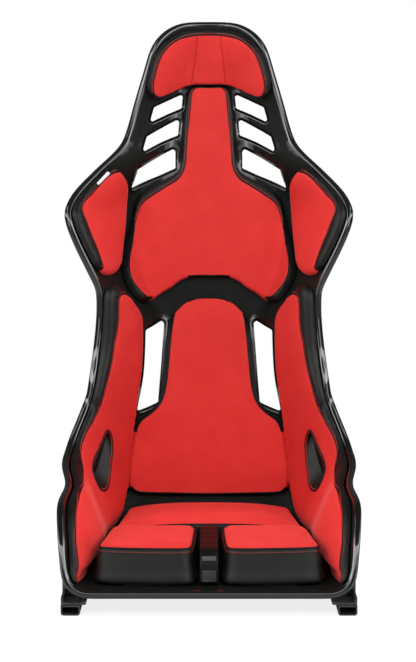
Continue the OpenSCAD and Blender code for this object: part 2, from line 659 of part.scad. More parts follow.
// Bolts that hold an adapter on its rail
rail_bolt_ys = [floor_bolt_y + 45, floor_bolt_y + bolt_pitch - 45];
adapter_y0 = rail_front_y + 4;
adapter_l = rail_l - 8;
hole_r = (bolt_d + bolt_clear) / 2;
access_r = bolt_d + 2;
head_h = bolt_d * 0.65;
head_r = bolt_d * 0.85;
washer_t = 1.6;
washer_r = bolt_d;
ear_w = 70;
ear_top = shell_bolt_z + 20;

module mount_inserts() {
    color("goldenrod") for (side = [-1, 1]) at_shell_bolts(side) difference() {
        translate([0, 0, fit]) cylinder(r = insert_r, h = insert_l - 2 * fit, $fn = 24);
        translate([0, 0, -1]) cylinder(r = bolt_d / 2 + 0.1, h = insert_l + 2, $fn = 24);
    }
}

// Flat steel section of an adapter, seen from the front, for the right-hand side
module adapter_section() {
    outer = plate_x + adapter_t;
    inner = outer - flange_w;
    bend = 5;
    // Upright
    translate([plate_x, rail_h + bend]) square([adapter_t, ear_top - rail_h - bend]);
    // Round bend at the outer bottom corner
    intersection() {
        translate([outer - bend, rail_h + bend]) circle(r = bend, $fn = 32);
        translate([outer - bend, rail_h]) square([bend, bend]);
    }
    // Flange on the rail
    translate([inner, rail_h]) square([flange_w - bend, adapter_t]);
    translate([plate_x, rail_h + adapter_t - eps]) square([adapter_t, bend]);
    // Stiffening curl along the inner edge
    translate([inner, rail_h + 3]) circle(r = 3, $fn = 24);
}

module side_adapter(side) {
    color(steel) difference() {
        mirror([side > 0 ? 0 : 1, 0, 0]) translate([0, adapter_y0 + adapter_l, 0]) rotate([90, 0, 0])
            linear_extrude(adapter_l) adapter_section();
        // The upright is cut down between and beyond its two ears
        for (gap = [[adapter_y0 - 1, bolt_ys[0] - ear_w / 2], [bolt_ys[0] + ear_w / 2, bolt_ys[1] - ear_w / 2],
                [bolt_ys[1] + ear_w / 2, adapter_y0 + adapter_l + 1]])
            if (gap[1] > gap[0]) translate([side * (plate_x + adapter_t / 2) - adapter_t, gap[0], flange_top + 8])
                cube([2 * adapter_t, gap[1] - gap[0], ear_top]);
        at_shell_bolts(side) translate([0, 0, -adapter_t - 1]) cylinder(r = hole_r, h = adapter_t + 2, $fn = 24);
        for (y = rail_bolt_ys) translate([side * rail_x, y, rail_h - 1]) cylinder(r = hole_r, h = adapter_t + 2, $fn = 24);
        for (y = floor_bolt_ys) translate([side * rail_x, y, rail_h - 1]) cylinder(r = access_r, h = adapter_t + 2, $fn = 32);
    }
}

module rail_outline(grow) {
    w = rail_w + 2 * grow;
    h = rail_h + 2 * grow;
    r = 5 + grow;
    translate([0, rail_h / 2]) {
        square([w - 2 * r, h], center = true);
        square([w, h - 2 * r], center = true);
        for (i = [-1, 1]) translate([i * (w / 2 - r), r - h / 2]) circle(r = r, $fn = 32);
        translate([-w / 2, 0]) square([w, h / 2]);
    }
}

module base_rail(side) {
    color(steel) difference() {
        translate([side * rail_x, rail_front_y + rail_l, 0]) rotate([90, 0, 0]) difference() {
            linear_extrude(rail_l) rail_outline(0);
            translate([0, 0, -1]) linear_extrude(rail_l + 2) rail_outline(-rail_t);
        }
        for (y = floor_bolt_ys) translate([side * rail_x, y, 0]) {
            translate([0, 0, -1]) cylinder(r = hole_r, h = rail_t + 2, $fn = 24);
            translate([0, 0, rail_h - rail_t - 1]) cylinder(r = access_r, h = rail_t + 2, $fn = 32);
        }
        for (y = rail_bolt_ys) translate([side * rail_x, y, rail_h - rail_t - 1])
            cylinder(r = hole_r, h = rail_t + 2, $fn = 24);
    }
}

// Button-head bolt, head down at z = 0 and shank upwards
module bolt(shank) {
    difference() {
        translate([0, 0, -head_h]) cylinder(r = head_r, h = head_h, $fn = 24);
        translate([0, 0, -head_h - 1]) cylinder(r = bolt_d * 0.32, h = head_h * 0.55 + 1, $fn = 6);
    }
    translate([0, 0, -eps]) cylinder(r = bolt_d / 2, h = shank + eps, $fn = 24);
}

module washer() {
    difference() {
        cylinder(r = washer_r, h = washer_t, $fn = 24);
        translate([0, 0, -1]) cylinder(r = hole_r, h = washer_t + 2, $fn = 24);
    }
}

module shell_bolts() {
    reach = adapter_t + washer_t;
    color("silver") for (side = [-1, 1]) at_shell_bolts(side) translate([0, 0, -reach])
        bolt(reach + insert_l - 1);
}

module shell_washers() {
    color("silver") for (side = [-1, 1]) at_shell_bolts(side) translate([0, 0, -adapter_t - washer_t]) washer();
}

module at_rail_bolts() {
    for (side = [-1, 1], y = rail_bolt_ys) translate([side * rail_x, y, flange_top]) children();
}

nut_h = 6;
module rail_bolts() {
    color("silver") at_rail_bolts() translate([0, 0, washer_t]) rotate([180, 0, 0])
        bolt(washer_t + adapter_t + rail_t + nut_h);
}

module rail_washers() {
    color("silver") at_rail_bolts() washer();
}

module rail_nuts() {
    color("silver") at_rail_bolts() translate([0, 0, -adapter_t - rail_t - nut_h]) difference() {
        cylinder(r = bolt_d * 0.93, h = nut_h, $fn = 6);
        translate([0, 0, -1]) cylinder(r = bolt_d / 2 + 0.1, h = nut_h + 2, $fn = 24);
    }
}

place() shell();
place() head_pad();
place() upper_back_pad();
place() lumbar_pad();
place() shoulder_pad(-1);  // shoulder_pad_left
place() shoulder_pad(1);  // shoulder_pad_right
place() side_pad(-1);  // side_pad_left
place() side_pad(1);  // side_pad_right
place() seat_cushion();
place() thigh_cushion(-1);  // thigh_cushion_left
place() thigh_cushion(1);  // thigh_cushion_right
place() thigh_piping(-1);  // thigh_piping_left
place() thigh_piping(1);  // thigh_piping_right
place() centre_bridge();
place() bridge_keeper_bar();
place() bridge_ribbed_catch();
place() lap_belt_bezel(-1);  // lap_belt_bezel_left
place() lap_belt_bezel(1);  // lap_belt_bezel_right
place() crotch_belt_bezel();
place() hook_patches_back();
place() hook_patches_sides();
place() hook_patches_seat();
place() shoulder_tag();
place() mount_inserts();
place() side_adapter(-1);  // side_adapter_left
place() side_adapter(1);  // side_adapter_right
place() base_rail(-1);  // base_rail_left
place() base_rail(1);  // base_rail_right
place() shell_bolts();
place() shell_washers();
place() rail_bolts();
place() rail_washers();
place() rail_nuts();
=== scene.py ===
# %% [markdown]
# # A fixed-back racing seat
# The seat is one moulded shell with loose pads stuck inside it, two belt openings in its
# sides, and bolted steel mounts underneath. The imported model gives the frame: its steel
# parts, its inserts and the bezel of the crotch belt slot stay as they are, and the rest
# gets finer pieces.

import math

import bpy
import numpy as np
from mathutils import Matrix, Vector
from mathutils.geometry import delaunay_2d_cdt


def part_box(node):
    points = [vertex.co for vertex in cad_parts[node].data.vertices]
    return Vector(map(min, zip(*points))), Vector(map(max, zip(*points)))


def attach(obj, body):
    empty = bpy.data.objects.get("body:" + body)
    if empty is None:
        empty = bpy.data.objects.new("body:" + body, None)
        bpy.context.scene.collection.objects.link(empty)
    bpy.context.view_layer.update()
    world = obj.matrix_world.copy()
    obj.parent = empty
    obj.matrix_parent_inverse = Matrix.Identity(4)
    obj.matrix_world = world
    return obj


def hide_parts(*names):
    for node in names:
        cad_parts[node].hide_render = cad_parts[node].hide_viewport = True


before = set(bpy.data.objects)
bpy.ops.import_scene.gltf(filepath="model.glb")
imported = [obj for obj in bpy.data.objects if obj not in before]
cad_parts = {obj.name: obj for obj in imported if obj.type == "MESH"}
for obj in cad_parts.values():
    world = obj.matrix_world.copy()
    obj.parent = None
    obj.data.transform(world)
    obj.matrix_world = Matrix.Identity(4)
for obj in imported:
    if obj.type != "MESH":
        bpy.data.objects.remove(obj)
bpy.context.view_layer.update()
MM = 0.001
SIDES = ((1, "right"), (-1, "left"))
print("nodes in the frame:", len(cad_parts))

# %% [markdown]
# ## The camera
# It stands 3.3 m in front of the seat, a little below its head, and looks down by almost
# six degrees. A long lens keeps the sides nearly parallel.

# %% Camera
CAMERA_AT, CAMERA_TILT, CAMERA_LENS = (-0.0017, -3.3523, 0.78035), 5.775, 102.42
bpy.ops.object.select_all(action="DESELECT")
bpy.ops.object.camera_add(location=CAMERA_AT, rotation=(math.radians(90 - CAMERA_TILT), 0, 0))
camera = bpy.context.object
camera.name = "camera"
camera.data.lens = CAMERA_LENS
bpy.context.scene.camera = camera
bpy.context.scene.view_settings.view_transform = "Standard"
print("lens", camera.data.lens, "mm")

# %% [markdown]
# ## The pattern of the shell
# A moulded shell is easiest to think of as a flat pattern laid on a mould. On the pattern,
# s runs from the front edge along the floor, round the bend and up the back, and l runs
# across from the middle line. Every place on the shell and on its pads is then one pair
# (l, s) and a height above the inner face, all in millimetres.

# %% Curves of the pattern
RIM = [[0, 241, 30, 108], [60, 242, 15, 134], [180, 237, 0, 148], [290, 250, -15, 165],
       [360, 250, -38, 180], [430, 243, 4, 208], [480, 231, 56, 209], [534, 217, 112, 178],
       [600, 208, 129, 144], [680, 202, 111, 135], [830, 198, 55, 148], [880, 208, 35, 155],
       [980, 238, -4, 168], [1040, 252, -28, 172], [1075, 254, -40, 168],
       [1110, 239, -40, 148], [1150, 204, -31, 110], [1190, 160, -15, 67],
       [1220, 147, -9, 59], [1260, 136, -5, 55], [1340, 112, 2, 49], [1418, 91, 4, 44]]
WALL = [[0, 84, 30], [200, 82, 32], [400, 74, 40], [534, 73, 44], [600, 72, 44],
        [655, 66, 46], [715, 57, 52], [790, 54, 58], [850, 55, 56], [885, 61, 48],
        [920, 63, 44], [1000, 61, 44], [1090, 58, 48], [1190, 36, 90], [1260, 34, 80],
        [1418, 34, 60]]
FLOOR_L, BEND_R, BACK_L, NECK_R = 380, 110, 677, 600
FLOOR_Z, BACK_ANGLE, NECK_TURN, SHELL_T = 42, 80, 14, 4.8
BEND_S, BACK_S, NECK_S, TOP_S = 534, 1211, 1358, 1418
CROWN_DROP, CROWN_POWER, CORNER_R = 72, 2.5, 40
# The walls swing from the floor's square to the back's, and on to the head's: from, over
BACK_SWING, HEAD_SWING = (320, 300), (1180, 210)
MIDDLE_Y = 4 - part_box("base_rail_right")[0][1] / MM


def curve(keys, s):
    """Smooth curve through rows of [place, value, ...]: one row of values for each s."""
    keys, s = np.asarray(keys, float), np.atleast_1d(np.asarray(s, float))
    n = np.arange(len(keys))
    i = np.clip(np.searchsorted(keys[:, 0], s, side="right") - 1, 0, len(keys) - 2)
    a, b = np.maximum(n - 1, 0), np.minimum(n + 1, len(keys) - 1)
    slope = (keys[b] - keys[a]) / (keys[b, :1] - keys[a, :1])
    span = (keys[i + 1, 0] - keys[i, 0])[:, None]
    t = np.clip((s[:, None] - keys[i, :1]) / span, 0, 1)
    return ((2 * t ** 3 - 3 * t ** 2 + 1) * keys[i] + (t ** 3 - 2 * t ** 2 + t) * span * slope[i]
            + (3 * t ** 2 - 2 * t ** 3) * keys[i + 1] + (t ** 3 - t ** 2) * span * slope[i + 1])


def sin(a):
    return np.sin(np.radians(a))


def cos(a):
    return np.cos(np.radians(a))


def ease(t):
    """0 to 1 with a soft start and a soft end."""
    t = np.clip(t, 0, 1)
    return t * t * (3 - 2 * t)


def spine(s):
    """Middle line of the shell: y and z for each s."""
    a = np.interp(s, [FLOOR_L, BEND_S, BACK_S, NECK_S],
                  [0, BACK_ANGLE, BACK_ANGLE, BACK_ANGLE + NECK_TURN])
    bend = np.minimum(a, BACK_ANGLE)
    y = np.minimum(s, FLOOR_L) + BEND_R * sin(bend)
    z = FLOOR_Z + BEND_R * (1 - cos(bend))
    back = np.clip(s - BEND_S, 0, BACK_S - BEND_S) * BACK_L / (BACK_S - BEND_S)
    head = np.maximum(s - NECK_S, 0)
    y = y + back * cos(BACK_ANGLE) + NECK_R * (sin(np.maximum(a, BACK_ANGLE)) - sin(BACK_ANGLE))
    z = z + back * sin(BACK_ANGLE) + NECK_R * (cos(BACK_ANGLE) - cos(np.maximum(a, BACK_ANGLE)))
    return y + head * cos(a), z + head * sin(a)


def section(s):
    """Cross-section at each s: flat middle, round corner, straight wall up to the rim."""
    y, z = spine(s)
    rim, wall = curve(RIM, s), curve(WALL, s)
    a = BACK_ANGLE * ease((s - BACK_SWING[0]) / BACK_SWING[1])
    a = a + NECK_TURN * ease((s - HEAD_SWING[0]) / HEAD_SWING[1])
    dy = rim[:, 2] * cos(a) - rim[:, 3] * sin(a)
    dz = rim[:, 2] * sin(a) + rim[:, 3] * cos(a)
    height = np.hypot(dy, dz)
    slope, r = wall[:, 1], wall[:, 2]
    tangent = r * np.tan(np.radians(slope / 2))
    flat = rim[:, 1] - height / np.tan(np.radians(slope)) - tangent
    return y, z, dy / height, dz / height, flat, r, slope, height / sin(slope) - tangent


def half_length(s):
    """Length across the pattern from the middle line to the rim."""
    k = section(np.atleast_1d(np.asarray(s, float)))
    return k[4] + k[5] * np.radians(k[6]) + k[7]


def mould(p):
    """Inner face of the shell at pattern points p, as x, y, z in millimetres."""
    l, s = np.asarray(p, float).T
    y, z, ey, ez, flat, r, slope, _ = section(s)
    m = np.abs(l)
    turn = np.clip(np.degrees((m - flat) / r), 0, slope)
    run = np.maximum(0, m - flat - r * np.radians(slope))
    x = np.minimum(m, flat) + r * sin(turn) + run * cos(slope)
    h = r * (1 - cos(turn)) + run * sin(slope)
    return np.column_stack([np.sign(l) * x, y + h * ey - MIDDLE_Y, z + h * ez])


def table(p):
    """The same for a piece that is cut for a flat table, level with the seat floor."""
    return np.column_stack([p[:, 0], p[:, 1] - MIDDLE_Y, np.full(len(p), float(FLOOR_Z))])


ground = [mould]


def skin(p):
    """Pattern points on whatever the piece at hand is laid on."""
    return ground[-1](np.asarray(p, float))


def unit(v):
    """Vectors brought to length 1."""
    return v / np.maximum(np.linalg.norm(v, axis=-1, keepdims=True), 1e-12)


def stretch(p):
    """How far the surface moves for a millimetre along l and along s."""
    a, b = np.array([0.5, 0]), np.array([0, 0.5])
    return skin(p + a) - skin(p - a), skin(p + b) - skin(p - b)


def skin_normal(p):
    a, b = stretch(p)
    return unit(np.cross(a, b))


def lifted(p, h):
    """Points at the height h above the inner face, towards the sitter, in metres."""
    p = np.asarray(p, float)
    return (skin(p) + np.reshape(h, (-1, 1)) * skin_normal(p)) * MM


print("rim at the hips:", half_length(360).round(1), "mm from the middle line")

# %% [markdown]
# ## Outlines on the pattern
# Seams, pads and windows are closed lines on the pattern. A line through a few points is
# smoothed and given a point every few millimetres, and a copy of it can be moved sideways
# by a true distance, however much the pattern is stretched there.

# %% Outlines


def smooth_loop(points, gap=4.0):
    """Closed smooth line through points on the pattern, one point every gap mm or so."""
    p = np.asarray(points, float)
    p = np.vstack([p[-1], p, p[:2]])
    out = []
    for a, b, c, d in zip(p, p[1:], p[2:], p[3:]):
        k = [0.0]
        for u, v in ((a, b), (b, c), (c, d)):
            k.append(k[-1] + max(np.linalg.norm(v - u), 1e-6) ** 0.5)
        t = np.linspace(k[1], k[2], 24, endpoint=False)[:, None]

        def between(x, y, i, j):
            return (k[j] - t) / (k[j] - k[i]) * x + (t - k[i]) / (k[j] - k[i]) * y
        a1, a2, a3 = between(a, b, 0, 1), between(b, c, 1, 2), between(c, d, 2, 3)
        out.append(between(between(a1, a2, 0, 2), between(a2, a3, 1, 3), 1, 2))
    return even(np.vstack(out), gap)


def even(loop, gap):
    """The same closed line with points at even true distances."""
    q = np.vstack([loop, loop[:1]])
    far = np.r_[0, np.cumsum(np.linalg.norm(np.diff(skin(q), axis=0), axis=1))]
    at = np.linspace(0, far[-1], max(8, round(far[-1] / gap)), endpoint=False)
    return np.column_stack([np.interp(at, far, q[:, i]) for i in (0, 1)])


def soften(loop, times=3):
    """The line with its sharp corners worn down a little."""
    for _ in range(times):
        loop = (np.roll(loop, 1, 0) + 2 * loop + np.roll(loop, -1, 0)) / 4
    return loop


def inset(loop, d):
    """A closed anticlockwise line moved inwards by the true distance d."""
    p, n = skin(loop), skin_normal(loop)
    side = unit(np.cross(n, np.roll(p, -1, 0) - np.roll(p, 1, 0))) * np.reshape(d, (-1, 1))
    a, b = stretch(loop)
    aa, ab, bb = (a * a).sum(1), (a * b).sum(1), (b * b).sum(1)
    ra, rb = (side * a).sum(1), (side * b).sum(1)
    det = aa * bb - ab * ab
    return loop + np.column_stack([(ra * bb - rb * ab) / det, (rb * aa - ra * ab) / det])


def room(loop, reach):
    """Share of reach that a line can move inwards where its far side is near."""
    p, n = skin(loop), len(loop)
    d = np.linalg.norm(p[:, None] - p[None], axis=2)
    steps = np.abs(np.arange(n)[:, None] - np.arange(n)[None])
    d[np.minimum(steps, n - steps) < n // 8] = 1e9
    share = np.clip(d.min(1) / (2.4 * reach), 0.12, 1)
    return np.minimum.reduce([np.roll(share, k) for k in range(-2, 3)])


def inside(p, loop):
    """Which points of the pattern lie inside a closed line."""
    x, y = np.asarray(p, float).T
    hit = np.zeros(len(x), bool)
    for (x0, y0), (x1, y1) in zip(loop, np.roll(loop, -1, 0)):
        if y0 != y1:
            hit ^= ((y0 > y) != (y1 > y)) & (x < (x1 - x0) * (y - y0) / (y1 - y0) + x0)
    return hit


def away(p, loop, use=None):
    """True distance from points of the pattern to a closed line, or to the parts in use."""
    q, a = skin(p), skin(loop)
    ab = np.roll(a, -1, 0) - a
    best = np.full(len(q), 1e9)
    for i in range(len(a)):
        if use is not None and not use[i]:
            continue
        t = np.clip(((q - a[i]) @ ab[i]) / max(ab[i] @ ab[i], 1e-9), 0, 1)
        best = np.minimum(best, np.linalg.norm(q - a[i] - t[:, None] * ab[i], axis=1))
    return best


def mirrored(loop):
    """The line on the other side of the seat, still anticlockwise."""
    return (loop * [-1, 1])[::-1]


def both_halves(right):
    """Closed anticlockwise line from its right half, given from the bottom to the top."""
    right = np.asarray(right, float)
    left = (right * [-1, 1])[::-1]
    keep = left[np.abs(left[:, 0]) > 0.5]
    return np.vstack([right, keep])


# %% [markdown]
# ## Flat patterns into meshes
# A line is filled with triangles on the flat pattern, as a cutter would lay the pieces
# out, and only then is the sheet laid on the mould. This keeps the triangles even round
# every window and along every seam, which a grid across the whole shell can't do.

# %% Fill a pattern
# Rows of an even triangle grid, and the room that its points leave beside a line, as shares
# of its gap
ROW_STEP, LINE_ROOM = 0.87, 0.62


def fill(loops, holes=(), lines=(), gap=8.0):
    """Points and triangles inside loops[0], none in holes, with edges along open lines."""
    edge = loops[0]
    lo, hi = edge.min(0), edge.max(0)
    rows = np.arange(lo[1] + gap / 2, hi[1], gap * ROW_STEP)
    grid = np.array([(x, y) for i, y in enumerate(rows)
                     for x in np.arange(lo[0] + gap / 2 * (1 + i % 2), hi[0], gap)])
    keep = inside(grid, edge)
    for h in holes:
        keep &= ~inside(grid, h)
    grid = grid[keep]
    fixed = [*loops, *holes, *lines]
    near = np.vstack(fixed)
    clear = np.ones(len(grid), bool)
    for start in range(0, len(near), 400):
        part = near[start:start + 400]
        clear &= (np.linalg.norm(grid[:, None] - part[None], axis=2) > gap * LINE_ROOM).all(1)
    grid = grid[clear]
    points, edges = [], []
    for number, line in enumerate(fixed):
        first, closed = len(points), number < len(loops) + len(holes)
        points += [Vector(p) for p in line]
        edges += [(first + i, first + (i + 1) % len(line)) for i in range(len(line) - 1 + closed)]
    points += [Vector(p) for p in grid]
    made, _, faces, *_ = delaunay_2d_cdt(points, edges, [], 0, 1e-4, False)
    made = np.array([tuple(v) for v in made])
    faces = np.array(faces)
    middle = made[faces].mean(1)
    keep = inside(middle, edge)
    for h in holes:
        keep &= ~inside(middle, h)
    return made, faces[keep]


def match(points, loop):
    """Numbers of the points that lie on a line, in the line's order."""
    return [int(np.argmin(((points - p) ** 2).sum(1))) for p in loop]


def ring_faces(rings):
    """Quads between neighbouring closed rings of point numbers."""
    out = []
    for a, b in zip(rings, rings[1:]):
        n = len(a)
        out += [(a[i], a[(i + 1) % n], b[(i + 1) % n], b[i]) for i in range(n)]
    return out


def new_piece(name, points, faces, materials=(), which=None):
    """A mesh object at the origin from points in metres."""
    mesh = bpy.data.meshes.new(name)
    mesh.from_pydata([tuple(p) for p in points], [], [tuple(int(i) for i in f) for f in faces])
    for m in materials:
        mesh.materials.append(m)
    if which is not None:
        mesh.polygons.foreach_set("material_index", np.asarray(which, np.int32))
    mesh.polygons.foreach_set("use_smooth", [True] * len(mesh.polygons))
    mesh.validate()
    piece = bpy.data.objects.new(name, mesh)
    bpy.context.scene.collection.objects.link(piece)
    return piece


def only(piece):
    """Select one piece and nothing else."""
    bpy.ops.object.select_all(action="DESELECT")
    piece.select_set(True)
    bpy.context.view_layer.objects.active = piece


def outward(piece):
    """Merge doubles and turn all faces of a closed piece outwards."""
    only(piece)
    bpy.ops.object.mode_set(mode="EDIT")
    bpy.ops.mesh.select_all(action="SELECT")
    bpy.ops.mesh.remove_doubles(threshold=0.00002)
    bpy.ops.mesh.normals_make_consistent(inside=False)
    bpy.ops.object.mode_set(mode="OBJECT")


def closed_piece(*parts):
    """A new piece with its doubles merged and its faces turned outwards."""
    piece = new_piece(*parts)
    outward(piece)
    return piece


# %% [markdown]
# ## Shader maths
# A material reads best as a formula. This small class holds one output of a shader
# tree, and adds the node for each sum, product or mix that is written with it.

# %% Shader class


class Wire:
    """One output of a node, for formulas on numbers."""

    def __init__(self, tree, socket=None):
        self.tree, self.socket = tree, socket

    def node(self, kind, settings=None, inputs=None, out=0):
        """A new node from its type, its settings and the values or links of its sockets."""
        n = self.tree.nodes.new(kind)
        for key, value in (settings or {}).items():
            setattr(n, key, value)
        for key, value in (inputs or {}).items():
            if isinstance(value, Wire):
                self.tree.links.new(value.socket, n.inputs[key])
            else:
                n.inputs[key].default_value = value
        return Wire(self.tree, n.outputs[out]) if n.outputs else None

    def maths(self, how, *values):
        return self.node("ShaderNodeMath", {"operation": how}, dict(enumerate(values)))

    def __add__(self, other):
        return self.maths("ADD", self, other)

    def __sub__(self, other):
        return self.maths("SUBTRACT", self, other)

    def __rsub__(self, other):
        return self.maths("SUBTRACT", other, self)

    def __mul__(self, other):
        return self.maths("MULTIPLY", self, other)

    __radd__, __rmul__ = __add__, __mul__

    def clamp(self, low=0.0, high=1.0):
        """0 where the value is low, 1 where it is high."""
        return self.node("ShaderNodeMapRange", {"clamp": True},
                         {"Value": self, "From Min": low, "From Max": high})

    def blend(self, a, b):
        """Colour a where this value is 0, colour b where it is 1."""
        def colour(c):
            return c if isinstance(c, Wire) else (*c, 1)
        return self.node("ShaderNodeMix", {"data_type": "RGBA"},
                         {0: self, 6: colour(a), 7: colour(b)}, out=2)

    def noise(self, place, size, detail=3.0, rough=0.5):
        """Cloudy noise whose blobs are about size metres across."""
        return self.node("ShaderNodeTexNoise", {}, {"Vector": place, "Scale": 1 / size,
                                                    "Detail": detail, "Roughness": rough})

    def cells(self, place, size, feature="F1"):
        return self.node("ShaderNodeTexVoronoi", {"feature": feature},
                         {"Vector": place, "Scale": 1 / size})

    def bump(self, strength, depth):
        """A Bump node: this value is the height, depth is in metres."""
        return self.node("ShaderNodeBump", {},
                         {"Height": self, "Strength": strength, "Distance": depth})


def finish_of(name, build, **constants):
    """A material whose build(wire, place) returns what varies, by socket name."""
    material = bpy.data.materials.new(name)
    material.use_nodes = True
    tree = material.node_tree
    shader = tree.nodes["Principled BSDF"]
    wire = Wire(tree)
    place = wire.node("ShaderNodeTexCoord", out=3)
    for key, value in constants.items():
        shader.inputs[key.replace("_", " ")].default_value = value
    for key, value in build(wire, place).items():
        if isinstance(value, Wire):
            tree.links.new(value.socket, shader.inputs[key])
        else:
            shader.inputs[key].default_value = value
    return material


# %% [markdown]
# ## Finishes
# Gloss paint on the shell shows a faint orange peel and a little dust. Suede has a short
# nap that lies in patches. Leather has small pebbles between fine creases, and is a little
# paler where it is worn. Each of these is a pattern at its true size.

# %% Paint, plastic and metal


def gloss(wire, place):
    """Polished along the rim and the windows, satin inside; the mesh says where."""
    inner = wire.node("ShaderNodeAttribute", {"attribute_name": "inner"}, out=2)
    peel = wire.noise(place, 0.004, 2)
    dust = wire.noise(place, 0.05, 4, 0.65)
    rough = dust.clamp(0.35, 0.75) * 0.06 + inner * 0.42 + 0.14
    colour = dust.clamp(0.4, 0.8).blend((0.0056, 0.0068, 0.006), (0.0076, 0.009, 0.008))
    return {"Base Color": colour, "Roughness": rough, "Coat Weight": (1 - inner).clamp(),
            "Normal": peel.bump(0.05, 0.0004)}


def plastic(wire, place):
    grain = wire.cells(place, 0.0009)
    cloud = wire.noise(place, 0.02)
    colour = cloud.clamp(0.3, 0.7).blend((0.014, 0.014, 0.0145), (0.02, 0.02, 0.02))
    return {"Base Color": colour, "Roughness": cloud * 0.16 + 0.4,
            "Normal": grain.bump(0.35, 0.00012)}


def powder_coat(wire, place):
    peel = wire.noise(place, 0.0016, 2)
    cloud = wire.noise(place, 0.03)
    colour = cloud.clamp(0.35, 0.7).blend((0.02, 0.02, 0.021), (0.03, 0.03, 0.03))
    return {"Base Color": colour, "Roughness": cloud * 0.2 + 0.32,
            "Normal": peel.bump(0.3, 0.0003)}


def zinc(wire, place):
    spangle = wire.cells(place, 0.003)
    fine = wire.noise(place, 0.0008, 2)
    colour = spangle.clamp(0.2, 0.9).blend((0.55, 0.55, 0.54), (0.66, 0.66, 0.63))
    return {"Base Color": colour, "Roughness": fine * 0.25 + 0.22,
            "Normal": fine.bump(0.15, 0.0001)}


def brass(wire, place):
    fine = wire.noise(place, 0.001, 2)
    colour = fine.clamp(0.3, 0.7).blend((0.55, 0.4, 0.17), (0.66, 0.5, 0.24))
    return {"Base Color": colour, "Roughness": fine * 0.2 + 0.25,
            "Normal": fine.bump(0.1, 0.0001)}


GLOSS = finish_of("gloss_shell", gloss, Specular_IOR_Level=0.1, Coat_Roughness=0.05)
TRIM = finish_of("trim_plastic", plastic)
STEEL = finish_of("black_powder_coat", powder_coat)
ZINC = finish_of("zinc_plate", zinc, Metallic=1.0)
BRASS = finish_of("brass_insert", brass, Metallic=1.0)
DARK_BAR = finish_of("blackened_bar", powder_coat, Specular_IOR_Level=0.9)

# %% Suede, leather and thread


def suede(wire, place):
    nap = wire.noise(place, 0.0011, 3, 0.7)
    lay = wire.noise(place, 0.045, 3, 0.55)
    wide = wire.noise(place, 0.16, 2, 0.5)
    tone = (lay * 0.42 + wide * 0.13 + nap * 0.45).clamp(0.34, 0.66)
    colour = tone.blend((0.665, 0.034, 0.031), (0.80, 0.052, 0.047))
    return {"Base Color": colour, "Roughness": nap * 0.1 + 0.82,
            "Normal": nap.bump(0.25, 0.0004)}


def leather(wire, place):
    pebble = wire.cells(place, 0.0016, "SMOOTH_F1")
    fine = wire.noise(place, 0.0007, 2)
    crease = wire.noise(place, 0.014, 4, 0.6)
    height = pebble * 0.7 + fine * 0.2 + crease * 0.4
    worn = crease.clamp(0.45, 0.75)
    colour = worn.blend((0.0055, 0.0054, 0.005), (0.0098, 0.0095, 0.0087))
    return {"Base Color": colour, "Roughness": pebble * 0.12 + crease * 0.12 + 0.36,
            "Normal": height.bump(0.35, 0.0004)}


def painted_shade_leather(wire, place):
    """The same leather, hardly worn, with its colour painted darker as shade for where it lies in
    the channel.
    """
    out = leather(wire, place)
    out["Base Color"] = wire.noise(place, 0.02).blend((0.003, 0.004, 0.0038), (0.005, 0.006, 0.0055))
    return out


def thread(colour_a, colour_b):
    def build(wire, place):
        twist = wire.noise(place, 0.0006, 2)
        return {"Base Color": twist.clamp(0.3, 0.7).blend(colour_a, colour_b),
                "Roughness": twist * 0.2 + 0.5, "Normal": twist.bump(0.5, 0.0002)}
    return build


def weave(colour_a, colour_b, size):
    def build(wire, place):
        across = wire.node("ShaderNodeTexWave", {"bands_direction": "DIAGONAL"},
                           {"Vector": place, "Scale": 0.2 / size, "Distortion": 1.0})
        fuzz = wire.noise(place, size * 0.7, 3, 0.7)
        tone = across * 0.5 + fuzz * 0.5
        return {"Base Color": tone.clamp(0.3, 0.7).blend(colour_a, colour_b),
                "Roughness": fuzz * 0.15 + 0.75, "Normal": tone.bump(0.5, 0.0003)}
    return build


SUEDE = finish_of("red_suede", suede, Sheen_Weight=0.2, Sheen_Roughness=0.22,
                  Sheen_Tint=(1.0, 0.7, 0.65, 1), Specular_IOR_Level=0.15)
LEATHER = finish_of("black_leather", leather, Specular_IOR_Level=0.2)
# The strap in the channel gets the leather painted darker: painted shade, not a different leather.
PAINTED_SHADE_LEATHER = finish_of("painted_shade_leather", painted_shade_leather, Specular_IOR_Level=0.15)
RED_THREAD = finish_of("red_thread", thread((0.5, 0.03, 0.028), (0.7, 0.07, 0.06)))
HOOK_TAPE = finish_of("hook_tape", weave((0.008, 0.008, 0.008), (0.03, 0.03, 0.03), 0.0012))
WHITE_WEAVE = finish_of("white_tag", weave((0.72, 0.72, 0.7), (0.88, 0.88, 0.87), 0.0006))
print("finishes made:", len(bpy.data.materials))

# %% [markdown]
# ## The outline of the shell and its windows
# The rim runs round the front corners, up both sides and over the head. Each window is
# cut straight through along the shell's own normal, so its outline is drawn flat on the
# tangent plane there and then carried back to the pattern.

# %% Shell outline


def front_edge(q):
    """Place s of the front edge, for a share q of the half width; its corners are round."""
    m = half_length(20)[0]
    u = np.clip((np.abs(q) * m - m + CORNER_R) / CORNER_R, 0, 1)
    return CORNER_R * (1 - np.sqrt(1 - u * u))


def top_edge(q):
    """Place s of the top edge, which is crowned."""
    return TOP_S - CROWN_DROP * (1 - (1 - np.abs(q) ** CROWN_POWER) ** (1 / CROWN_POWER))


def shell_outline(gap):
    """The rim of the pattern, anticlockwise from the middle of the front edge."""
    across = np.r_[np.linspace(0, 0.88, 60), 1 - 0.12 * (1 - np.linspace(0, 1, 60)[1:]) ** 2]
    front = np.array([(q * half_length(front_edge(q))[0], float(front_edge(q))) for q in across])
    up = np.linspace(front[-1][1], TOP_S - CROWN_DROP, 300)[1:-1]
    side = np.column_stack([half_length(up), up])
    top = np.array([(q * half_length(top_edge(q))[0], float(top_edge(q))) for q in across[::-1]])
    return even(both_halves(np.vstack([front, side, top])), gap)


